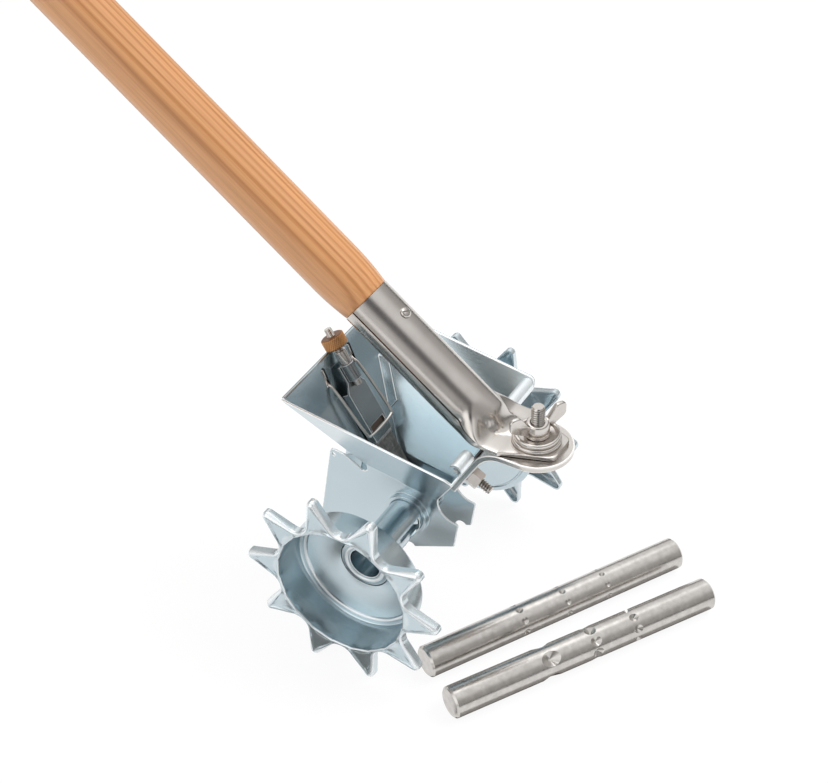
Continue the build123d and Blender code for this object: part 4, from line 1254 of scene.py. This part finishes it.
nut_bore = FIXING_RADIUS + NUT_SLACK
nut_rings = hexagon_rings(fixing_turn, FIXING_APOTHEM, STRAP, nut_top)
for bore, height in (
    (nut_bore + NUT_MOUTH, nut_top),
    (nut_bore, nut_top - NUT_MOUTH),
    (nut_bore, STRAP + NUT_MOUTH),
    (nut_bore + NUT_MOUTH, STRAP),
):
    nut_rings.append(round_ring(fixing_turn, bore, height, BOLT_ROUND))
nut_shell = skin(nut_rings, loop=True)
on_spots("wall_nuts", "frame", "plated_steel", STEEL, fixing_spots, nut_shell, "bracket_nuts")

# Handle joint: its bolt and washers
pivot_place = placed((PIVOT_X, 0, 0), (1, 0, 0), (0, 0, 1))
plate_foot = PLATE_TOP - STRAP
head_profile = eased(
    [
        (PIVOT_HEAD_CENTRE, plate_foot - PIVOT_HEAD, 0),
        (PIVOT_HEAD_RADIUS, plate_foot - PIVOT_HEAD, 2.4),
        (PIVOT_HEAD_RADIUS, plate_foot, 0.4),
        (PIVOT_RADIUS, plate_foot, 0),
        (PIVOT_RADIUS, cup_foot, 0),
    ]
)
pivot_rings = [round_ring(pivot_place, radius, height, BOLT_ROUND) for radius, height in head_profile]
pivot_rings += threaded_rings(
    pivot_place, PIVOT_RADIUS, cup_foot + THREAD_LEAD / 2, PIVOT_TOP, PIVOT_PITCH, BOLT_ROUND
)
handle_bolt = piece("handle_bolt", "frame", "plated_steel", STEEL, ["pivot_bolt"], skin(pivot_rings))
shade_thread_grooves(handle_bolt.data, pivot_place, PIVOT_RADIUS, cup_foot + THREAD_LEAD, PIVOT_TOP, PIVOT_PITCH)


def washer(name, node, corners):
    """A turned washer on the pivot."""
    shell = turned(pivot_place, eased(corners, steps=5), WIDE_ROUND, loop=True)
    piece(name, "handle", "plated_steel", STEEL, [node], shell)


washer(
    "flat_washer",
    "clamp_washer",
    [
        (WASHER_BORE, washer_foot, 0.3),
        (CLAMP_WASHER_RADIUS, washer_foot, 0.9),
        (CLAMP_WASHER_RADIUS, cup_foot, 1.1),
        (WASHER_BORE, cup_foot, 0.3),
    ],
)
cup_inner = CUP_WASHER_RADIUS - CUP_RIM
washer(
    "dished_washer",
    "cup_washer",
    [
        (WASHER_BORE, cup_foot, 0.3),
        (CUP_WASHER_RADIUS, cup_foot, 1.2),
        (CUP_WASHER_RADIUS, cup_foot + CUP_WASHER, 1.0),
        (cup_inner, cup_foot + CUP_WASHER, 0.9),
        (cup_inner - CUP_DRAFT, cup_foot + CUP_FLOOR, 0.6),
        (WASHER_BORE, cup_foot + CUP_FLOOR, 0.3),
    ],
)


# Wing nut: a turned base with two ears
def ear_shell(hand, place):
    """One ear: its outline rounded, thicker at the base than at the tip."""
    outline = eased(
        [
            (hand * EAR_ROOT, EAR_FOOT, 0),
            (hand * WING_BASE_RADIUS, EAR_HEEL, 0),
            (hand * WING_SPAN, WING_RISE * EAR_TOE, 3.2),
            (hand * WING_SPAN, WING_RISE, 3.0),
            (hand * EAR_SHOULDER, WING_RISE, 3.0),
            (hand * EAR_NECK, WING_BASE, 2.0),
            (hand * EAR_ROOT, WING_BASE - EAR_NECK_DROP, 0),
        ],
        steps=5,
    )
    middle = Vector((hand * EAR_MIDDLE[0], EAR_MIDDLE[1]))
    rings = []
    edge_steps = 4
    for side in (1, -1):
        for step in range(edge_steps + 1)[::side]:
            lean = pi / 2 * step / edge_steps
            ring = []
            for point in outline:
                toward = (middle - point).normalized()
                inset = point + toward * (EAR_EDGE * (1 - sin(lean)))
                half = mixed(WING_SHEET / 2, WING_SHEET * EAR_TIP_SHEET, abs(point.x) / WING_SPAN)
                thick = half - EAR_EDGE * (1 - cos(lean))
                ring.append(place @ Vector((inset.x, inset.y, side * thick)))
            rings.append(ring)
    return skin(rings)


wing_turn = radians(WING_DIRECTION)
wing_along = Vector((cos(wing_turn), sin(wing_turn), 0))
wing_place = placed((PIVOT_X, 0, nut_foot), wing_along, (sin(wing_turn), -cos(wing_turn), 0))
wing_bore = PIVOT_RADIUS + NUT_SLACK
base_profile = eased(
    [
        (wing_bore, nut_foot, 0.2),
        (WING_BASE_RADIUS, nut_foot, 0.8),
        (WING_BASE_RADIUS - WING_BASE_DRAFT, nut_foot + WING_BASE, 1.2),
        (wing_bore, nut_foot + WING_BASE, 0.6),
    ]
)
piece(
    "winged_nut",
    "wing",
    "plated_steel",
    STEEL,
    ["wing_nut"],
    turned(pivot_place, base_profile, NUT_ROUND, loop=True),
    ear_shell(1, wing_place),
    ear_shell(-1, wing_place),
)


# Handle socket: a rolled tube with an open seam, flattened into the tongue
def over_back(side, height, rise, half, middle, crease):
    """The higher of the flattened sheet and the tube's round back, with a soft crease between the two."""
    back = rise * sqrt(max(0.0, 1 - ((side - middle) / half) ** 2))
    overlap = max(crease - abs(height - back), 0.0)
    return max(height, back) + overlap**2 / (4 * crease)


def socket_section(centre, up, half_width, half_height, power, gap, back=None):
    """An open ring of the rolled sheet, from one edge of the seam round to the other."""
    ring = []
    for k in range(SECTION_STEPS + 1):
        turn = radians(SEAM_DIRECTION) + gap / 2 + (2 * pi - gap) * k / SECTION_STEPS
        across = -sin(turn)
        over = (1 - abs(across) ** power) ** (1 / power)
        height = half_height * over * (1 if cos(turn) > 0 else -1)
        if back and height > 0:
            height = over_back(across * half_width, height, *back)
        ring.append(centre + ACROSS * (across * half_width) + up * height)
    return ring


def dented(ring):
    """Press the small dents where the tube starts to flatten."""
    pressed = []
    for point in ring:
        for distance, lean, reach, depth in DENTS:
            facing = HANDLE_TOP * cos(radians(lean)) - ACROSS * sin(radians(lean))
            spot = knee_point + HANDLE_UP * distance + facing * SOCKET_RADIUS
            apart = (point - spot).length / reach
            point = point - facing * (depth / (1 + apart**2) ** 2)
        pressed.append(point)
    return pressed


def neck_rings(tube_gap, tongue_half_height):
    """Sections along the curve from the tube to the tongue, the tube's back fading over the flat sheet."""
    rings = []
    start = knee_point + HANDLE_UP * NECK_START
    end = Vector((TONGUE_START, 0, knee_point.z))
    start_pull = start - HANDLE_UP * TUBE_PULL
    end_pull = end - Vector((TONGUE_PULL, 0, 0))
    ridge_foot = knee_point + HANDLE_TOP * SOCKET_RADIUS
    for step in range(NECK_STEPS + 1):
        share = step / NECK_STEPS
        rest = 1 - share
        centre = start * rest**3 + start_pull * (3 * rest**2 * share)
        centre += end_pull * (3 * rest * share**2) + end * share**3
        heading = (start_pull - start) * rest**2 + (end_pull - start_pull) * (2 * rest * share)
        heading += (end - end_pull) * share**2
        up = ACROSS.cross(heading).normalized() * -1
        flat = smooth_step(share / NECK_FLAT)
        half_height = mixed(SOCKET_RADIUS, tongue_half_height, flat)
        half_width = sqrt(2 * SOCKET_RADIUS**2 - half_height**2)
        ridge = ridge_foot + HANDLE_UP * ((centre - ridge_foot).dot(heading) / HANDLE_UP.dot(heading))
        fade = smooth_step((share - BACK_FADE) / (1 - BACK_FADE))
        narrow = smooth_step(share)
        back = (
            mixed((ridge - centre).dot(up), tongue_half_height, fade),
            mixed(SOCKET_RADIUS, BACK_HALF_END, narrow),
            BACK_SHIFT * narrow,
            LEAST_CREASE + CREASE * narrow,
        )
        power = mixed(ROUND_POWER, FLAT_POWER, flat**3)
        gap = mixed(tube_gap, SHUT_SEAM, flat)
        rings.append(dented(socket_section(centre, up, half_width, half_height, power, gap, back)))
    return rings


def socket_rings():
    """Sections from the tube's mouth down to the tongue's end."""
    rings = []
    tube_gap = SEAM_SHOWN / SOCKET_RADIUS
    tongue_half_height = TONGUE_SHEET / 2
    for distance in TUBE_STATIONS:
        centre = knee_point + HANDLE_UP * distance
        section = socket_section(centre, HANDLE_TOP, SOCKET_RADIUS, SOCKET_RADIUS, ROUND_POWER, tube_gap)
        rings.append(dented(section))
    rings += neck_rings(tube_gap, tongue_half_height)
    taper = (TONGUE_HALF - TONGUE_END_HALF) / (TONGUE_END - TONGUE_WIDEST)
    stations = [(x, TONGUE_END_HALF + (TONGUE_END - x) * taper) for x in TONGUE_STATIONS]
    stations += [(TONGUE_END - inset, TONGUE_END_HALF - narrowing) for inset, narrowing in TONGUE_CORNER]
    for x, half_width in stations:
        centre = Vector((x, 0, knee_point.z))
        up = Vector((0, 0, 1))
        rings.append(socket_section(centre, up, half_width, tongue_half_height, FLAT_POWER, SHUT_SEAM))
    return rings


socket = new_object("pole_socket", mesh_from("pole_socket", skin(socket_rings(), closed=False, caps=False)))
thickened(socket, SOCKET_SHEET)
show(socket, "handle", "plated_steel", STEEL, "handle_socket")


# Pole and its screw
def pole_profile():
    """Radius and height of the pole from its tenon over the shoulder to its rounded end."""
    foot = -POLE_DEPTH
    profile = [Vector((POLE_CENTRE, foot)), Vector((POLE_TENON - POLE_TENON_CHAMFER, foot))]
    profile += [Vector((POLE_TENON, foot + POLE_TENON_CHAMFER)), Vector((POLE_TENON, SLIP_GAP))]
    profile.append(Vector((POLE_SHOULDER_RADIUS - POLE_SHOULDER_EDGE, SLIP_GAP)))
    steps = 12
    for step in range(steps + 1):
        share = step / steps
        narrowing = (POLE_RADIUS - POLE_SHOULDER_RADIUS) * (1 - share) ** 2
        height = mixed(POLE_SHOULDER_FOOT, POLE_SHOULDER, share)
        profile.append(Vector((POLE_RADIUS - narrowing, height)))
    profile += [Vector((POLE_RADIUS, POLE_LENGTH * k / POLE_SPANS)) for k in range(1, POLE_SPANS)]
    profile += eased(
        [
            (POLE_RADIUS, POLE_LENGTH - POLE_LAST_SPAN, 0),
            (POLE_RADIUS, POLE_LENGTH, POLE_END_ROUND),
            (POLE_CENTRE, POLE_LENGTH, 0),
        ],
        steps=8,
    )
    return profile


def screw_profile():
    """Radius and height of the screw from its point to the top of its round head."""
    foot = -SCREW_LENGTH
    profile = [Vector((SCREW_CENTRE, foot)), Vector((SCREW_SHANK_RADIUS, foot + SCREW_POINT))]
    profile += [Vector((SCREW_SHANK_RADIUS, 0)), Vector((SCREW_HEAD_RADIUS, 0))]
    steps = 8
    for step in range(steps):
        lean = pi / 2 * step / steps
        height = mixed(SCREW_HEAD_EDGE, SCREW_HEAD, sin(lean))
        profile.append(Vector((SCREW_HEAD_RADIUS * cos(lean), height)))
    profile.append(Vector((SCREW_CENTRE, SCREW_HEAD)))
    return profile


pole_place = placed(knee_point + HANDLE_UP * SOCKET_LENGTH, (0, -1, 0), HANDLE_UP)
pole_shell = turned(pole_place, pole_profile(), WIDE_ROUND)
piece("wooden_pole", "handle", "pole_wood", WOOD, ["handle_pole"], pole_shell)
screw_spot = knee_point + HANDLE_UP * (SOCKET_LENGTH - SCREW_INSET) + HANDLE_TOP * SOCKET_RADIUS
screw_place = placed(screw_spot, (0, -1, 0), HANDLE_TOP)
screw = closed_object("round_screw", turned(screw_place, screw_profile(), SMALL_ROUND))
slot_place = screw_place @ Matrix.Rotation(radians(WING_DIRECTION), 4, "Z")
slot_floor = SCREW_HEAD - SCREW_SLOT_DEPTH
slot_block = block_shell(slot_place, SCREW_SLOT / 2, 2 * SCREW_HEAD_RADIUS, slot_floor, 2 * SCREW_HEAD)
carved(screw, closed_object("slot_cutter", slot_block))
show(screw, "handle", "plated_steel", STEEL, "socket_screw")

# Brush: stud, spacer, ribbed knob and bristles
stud_rings = [round_ring(stud_place, STUD_RADIUS, h, TINY_ROUND) for h in (STUD_FOOT, SPACER_FOOT)]
stud_rings += threaded_rings(
    stud_place, STUD_RADIUS, SPACER_FOOT + THREAD_LEAD, STUD_TIP, STUD_PITCH, TINY_ROUND
)
piece("adjusting_stud", "brush", "plated_steel", STEEL, ["brush_stud"], skin(stud_rings))
spacer_profile = eased(
    [
        (SPACER_BORE, SPACER_FOOT, 0.2),
        (SPACER_RADIUS, SPACER_FOOT, 0.4),
        (SPACER_RADIUS, SPACER_FOOT + SPACER_LENGTH, 0.4),
        (SPACER_BORE, SPACER_FOOT + SPACER_LENGTH, 0.2),
    ]
)
spacer_shell = turned(stud_place, spacer_profile, SMALL_ROUND, loop=True)
piece("stud_spacer", "brush", "plated_steel", STEEL, ["brush_spacer"], spacer_shell)


def knob_sector():
    """One column of the knob's diamond knurl, from its bore's foot over the rim to the bore's top."""
    half_pitch = pi / KNOB_RIBS
    bore = STUD_RADIUS + NUT_SLACK
    top = KNOB_FOOT + KNOB_LENGTH
    profile = [(bore, KNOB_FOOT, 0.0), (KNOB_RADIUS - KNOB_FOOT_CHAMFER[0], KNOB_FOOT, 0.0)]
    for row in range(KNURL_ROWS + 1):
        height = mixed(KNOB_FOOT + KNOB_FOOT_CHAMFER[1], top - KNOB_TOP_CHAMFER[1], row / KNURL_ROWS)
        profile.append((KNOB_RADIUS, height, 1.0 if row % 2 else -1.0))
    profile += [(KNOB_RADIUS - KNOB_TOP_CHAMFER[0], top, 0.0), (bore, top, 0.0)]
    rings = []
    for radius, height, crossing in profile:
        ring = []
        for share in KNURL_SHARES:
            groove = KNURL_DEPTH * (0.5 + 0.5 * crossing * cos(pi * share)) if crossing else 0.0
            turn = share * half_pitch
            ring.append(Vector(((radius - groove) * cos(turn), (radius - groove) * sin(turn), height)))
        rings.append(ring)
    return mesh_from("knob_sector", skin(rings, closed=False, loop=True))


knob = new_object("ribbed_knob", knob_sector())
grown(knob, ROUND, Count=KNOB_RIBS, Material=BRASS)
moved(knob, stud_place)
facing_out(knob.data)
show(knob, "knob", "knob_brass", BRASS, "brush_knob")

root_place = placed(
    BRUSH_UP * BRISTLE_ROOT + BRUSH_OVER * ((PLATE_LOW + BACK_LOW) / 2), ACROSS, -BRUSH_UP
)
bristles = new_object("brush_fibres", bpy.data.meshes.new("brush_fibres"))
grown(
    bristles,
    bristle_tree(),
    Spread=BRISTLE_SPREAD * MM,
    Depth=BRISTLE_DEPTH * MM,
    Length=(BRISTLE_ROOT - BRISTLE_TIP) * MM,
    Thickness=BRISTLE_RADIUS * MM,
    Columns=BRISTLE_COLUMNS,
    Rows=BRISTLE_ROWS,
    Seed=BRISTLE_SEED,
    Material=FIBRE,
)
moved(bristles, root_place)
root_half = (PLATE_LOW - BACK_LOW - SLIP_GAP) / 2
root_block = block_shell(root_place, BACK_HALF + SHEET, root_half, -BRISTLE_SLICE, 0)
fibres = bmesh.new()
fibres.from_mesh(bristles.data)
fibres.from_mesh(mesh_from("root_block", root_block))
bmesh.ops.recalc_face_normals(fibres, faces=fibres.faces)
fibres.to_mesh(bristles.data)
fibres.free()
show(bristles, "brush", "bristle", FIBRE, "brush_bristles")


# Wire bail: round wire hooked through the wall's slots, its bar over the carrier
def bail_leg(hand):
    """The wire's points on one side, from its tail outside the wall to the bar's corner."""
    side = ACROSS * (hand * BAIL_HALF)
    bar = BRUSH_UP * BAIL_BAR + BRUSH_OVER * BAIL_BAR_HEIGHT
    wall_points = [
        (BAIL_TAIL - BAIL_DROP, -BAIL_TAIL_GAP),
        (WIRE_BEND - BAIL_DROP, -BAIL_TAIL_GAP),
        (-BAIL_DROP, WIRE_BEND - BAIL_TAIL_GAP),
        (-BAIL_DROP, SHEET),
        (-BAIL_DROP - WIRE_BEND, SHEET + WIRE_BEND),
    ]
    points = [rim_point + side + wall_up * along + wall_in * inward for along, inward in wall_points]
    for tail in points[:2]:
        tail += ACROSS * TAIL_SPLAY
    points.append(bar + side + BRUSH_UP * WIRE_BEND)
    points.append(bar + ACROSS * (hand * (BAIL_HALF - WIRE_BEND)))
    return points


def bail_wire(points):
    """A round wire along a smooth line through the points, as a plain mesh."""
    curve = bpy.data.curves.new("bail_wire", "CURVE")
    curve.dimensions = "3D"
    curve.bevel_depth = WIRE_RADIUS * MM
    curve.bevel_resolution = 4
    curve.use_fill_caps = True
    wire = curve.splines.new("NURBS")
    wire.points.add(len(points) - 1)
    for wire_point, spot in zip(wire.points, points):
        wire_point.co = (*(spot * MM), 1)
    wire.order_u = 3
    wire.use_endpoint_u = True
    wire.resolution_u = 8
    guide = new_object("bail_guide", curve)
    graph = bpy.context.evaluated_depsgraph_get()
    mesh = bpy.data.meshes.new_from_object(guide.evaluated_get(graph))
    bpy.data.objects.remove(guide)
    return facing_out(mesh)


bail = new_object("wire_bail", bail_wire(bail_leg(-1) + bail_leg(1)[::-1]))
show(bail, "bail", "plated_steel", STEEL, "brush_bail")


# Weld spots on the brush wall's tabs
def weld_spots(hand, name):
    """The ringed spots where one side sheet is welded to the brush wall."""
    flare = (RIM_HALF_WIDTH - BOOT_GAP / 2 - SHEET) / (RIM_HEIGHT - FOLD_HEIGHT)
    flare_norm = hypot(flare, 1)
    spots = []
    for fore, rise in WELD_SPOTS:
        inner = BOOT_GAP / 2 + (rise - FOLD_HEIGHT) * flare - (SHEET + SHEET_GAP) * flare_norm
        spots.append(pitched(fore, rise, hand * inner))
    tab_out = pitched(0, flare / flare_norm, -hand / flare_norm)
    rim = WELD_SPOT_RADIUS
    profile = [(WELD_SPOT_CENTRE, -WELD_SPOT_DEPTH), (rim, -WELD_SPOT_DEPTH), (rim, WELD_SPOT_EDGE)]
    profile += [(rim - inset, height) for inset, height in WELD_SPOT_RING]
    profile.append((WELD_SPOT_CENTRE, -WELD_SPOT_DISH))
    shell = turned(placed((0, 0, 0), FORE, tab_out), profile, TINY_ROUND)
    on_spots(f"{name}_weld_spots", "frame", "zinc_sheet", ZINC, spots, shell)


weld_spots(-1, "near")
weld_spots(1, "far")


# Metering rods
def pit_shell(place, radius):
    """A drill's point, its tip down the place's z axis and its full radius at the origin."""
    depth = radius * PIT_DEPTH
    tip = (PIT_POINT * radius, (PIT_POINT - 1) * depth)
    return turned(place, [tip, (radius, 0), (2 * radius, depth)], TINY_ROUND)


def metering_rod(name, end, heading, radii, counts, turns):
    """One rod with its rings of pits, lying on the ground."""
    turn = radians(heading)
    place = placed((*end, GROUND + ROD_RADIUS), (0, 0, 1), (cos(turn), sin(turn), 0))
    far = ROD_LENGTH - ROD_CHAMFER
    profile = [(ROD_RADIUS - ROD_CHAMFER, 0)]
    profile += [(ROD_RADIUS, mixed(ROD_CHAMFER, far, k / ROD_SPANS)) for k in range(ROD_SPANS + 1)]
    profile.append((ROD_RADIUS - ROD_CHAMFER, ROD_LENGTH))
    obj = closed_object(f"{name}_seed_rod", turned(place, profile, ROD_ROUND))
    first = placed((ROD_RADIUS, 0, 0), (0, 0, 1), (1, 0, 0))
    for share, radius, count, start in zip(ROD_RINGS, radii, counts, turns):
        along = Matrix.Translation((0, 0, share * ROD_LENGTH))
        pits = closed_object("pit_ring", pit_shell(first, radius))
        grown(pits, ROUND, Count=count, Material=ROD)
        moved(pits, place @ along @ Matrix.Rotation(radians(start), 4, "Z"))
        carved(obj, pits)
    show(obj, f"{name}_rod", "rod_steel", ROD, f"seed_rod_{name}")


for rod_name, rod in RODS.items():
    metering_rod(rod_name, **rod)


# Floor and the dark cards on it, which paint shadow into reflections
def backdrop_white(tree, shader, share):
    """Mix a surface with plain white for what the camera and reflections see."""
    rays = tree.nodes.new("ShaderNodeLightPath").outputs
    seen = worked_out(tree, "MAXIMUM", rays["Is Camera Ray"], rays["Is Glossy Ray"])
    seen = worked_out(tree, "MAXIMUM", seen, rays["Is Transmission Ray"])
    amount = worked_out(tree, "MULTIPLY", seen, share)
    white = tree_node(tree, "ShaderNodeEmission", Color=(1, 1, 1, 1))
    links = [(0, amount), (1, shader.outputs[0]), (2, white.outputs[0])]
    return tree_node(tree, "ShaderNodeMixShader", links).outputs[0]


def stage_sheet(name, place, half_x, half_y, material):
    """A flat stage object."""
    obj = new_object(name, mesh_from(name, (rectangle(place, half_x, half_y), [(0, 1, 2, 3)])))
    obj.data.materials.append(material)
    return obj


def floor_paint():
    """Pale matt floor that shows white and keeps the object's shadow."""
    material, tree, shader = material_with("pale_floor")
    set_up(shader, Base_Color=(0.9, 0.9, 0.9, 1), Roughness=1.0, Specular_IOR_Level=0.0)
    white = backdrop_white(tree, shader, BACKDROP_SHARE)
    tree.links.new(white, tree.nodes["Material Output"].inputs["Surface"])
    return material


def shadow_card_paint():
    """Dark matt card that paints shadow into reflections."""
    material, tree, shader = material_with("dark_card")
    set_up(shader, Base_Color=(0.30, 0.29, 0.28, 1), Roughness=1.0)
    return material


def dark_card(x, y, half_x, half_y, turn):
    """A dark card on the ground, seen only in reflections: painted shadow and painted dark surroundings."""
    along = (cos(radians(turn)), sin(radians(turn)), 0)
    card = stage_sheet("dark_card", placed((x, y, GROUND + CARD_RISE), along, UP), half_x, half_y, SHADOW_CARD_PAINT)
    card.visible_camera = False
    card.visible_diffuse = False
    card.visible_shadow = False


UP = (0, 0, 1)
SHADOW_CARD_PAINT = shadow_card_paint()
floor_place = placed((0, 0, GROUND - FLOOR_DROP), (1, 0, 0), UP)
stage_sheet("floor", floor_place, FLOOR_HALF, FLOOR_HALF, floor_paint())
for card_sizes in SHADOW_CARDS:
    dark_card(*card_sizes)
# A dark card beside each rod paints its contact shadow into its reflection
for rod in RODS.values():
    rod_turn = radians(rod["heading"])
    middle = Vector(rod["end"]) + Vector((cos(rod_turn), sin(rod_turn))) * (ROD_LENGTH / 2)
    middle += Vector((sin(rod_turn), -cos(rod_turn))) * (ROD_RADIUS + ROD_CARD_GAP)
    dark_card(*middle, ROD_LENGTH / 2, ROD_CARD_HALF, rod["heading"])


# Light: a world that is dark at the horizon and pale overhead, with soft boxes, and two soft lamps
def studio_world():
    """The studio round the object, with three soft boxes and a dark place where the camera stands."""
    world = bpy.data.worlds.new("studio")
    world.use_nodes = True
    tree = world.node_tree
    where = tree.nodes.new("ShaderNodeTexCoord").outputs["Generated"]
    height = tree_node(tree, "ShaderNodeSeparateXYZ", [("Vector", where)]).outputs["Z"]
    tone = ramp(
        tree,
        height,
        (0.0, (0.12, 0.12, 0.12)),
        (0.08, (0.16, 0.16, 0.16)),
        (0.22, (0.42, 0.41, 0.40)),
        (0.60, (0.52, 0.51, 0.50)),
        (0.85, (0.95, 0.95, 0.95)),
        (1.0, (1.0, 1.0, 1.0)),
    )
    for facing, inner, outer, box_tone in SOFT_BOXES:
        near = tree_node(tree, "ShaderNodeVectorMath", [(0, where)], operation="DOT_PRODUCT")
        near.inputs[1].default_value = Vector(facing).normalized()
        share = tree_node(
            tree,
            "ShaderNodeMapRange",
            [("Value", near.outputs["Value"])],
            interpolation_type="SMOOTHSTEP",
            From_Min=cos(radians(outer)),
            From_Max=cos(radians(inner)),
        )
        tone = toned(tree, share.outputs["Result"], tone, box_tone)
    background = set_up(tree.nodes["Background"], Strength=1.0)
    tree.links.new(tone, background.inputs["Color"])
    return world


def soft_lamp(name, spot, size, power):
    """A large soft lamp facing the object."""
    lamp = bpy.data.lights.new(name, "AREA")
    lamp.shape = "RECTANGLE"
    lamp.size, lamp.size_y = size
    lamp.energy = power
    obj = new_object(name, lamp)
    obj.location = Vector(spot)
    obj.rotation_euler = (Vector(LAMP_TARGET) - Vector(spot)).to_track_quat("-Z", "Y").to_euler()
    obj.visible_glossy = False


scene.world = studio_world()
soft_lamp("key", spot=(1.1, 0.9, 1.9), size=(1.5, 1.1), power=46.0)
soft_lamp("fill", spot=(-1.3, -1.5, 1.1), size=(1.6, 1.2), power=6.0)

# Camera
camera_data = bpy.data.cameras.new("camera")
camera_data.sensor_width = CAMERA_SENSOR
camera_data.lens = CAMERA_LENS
camera_data.clip_start = 0.01
camera = new_object("camera", camera_data)
camera.location = CAMERA_PLACE
camera.rotation_euler = (radians(CAMERA_TILT), 0, radians(CAMERA_TURN))
scene.camera = camera
scene.view_settings.view_transform = "Standard"
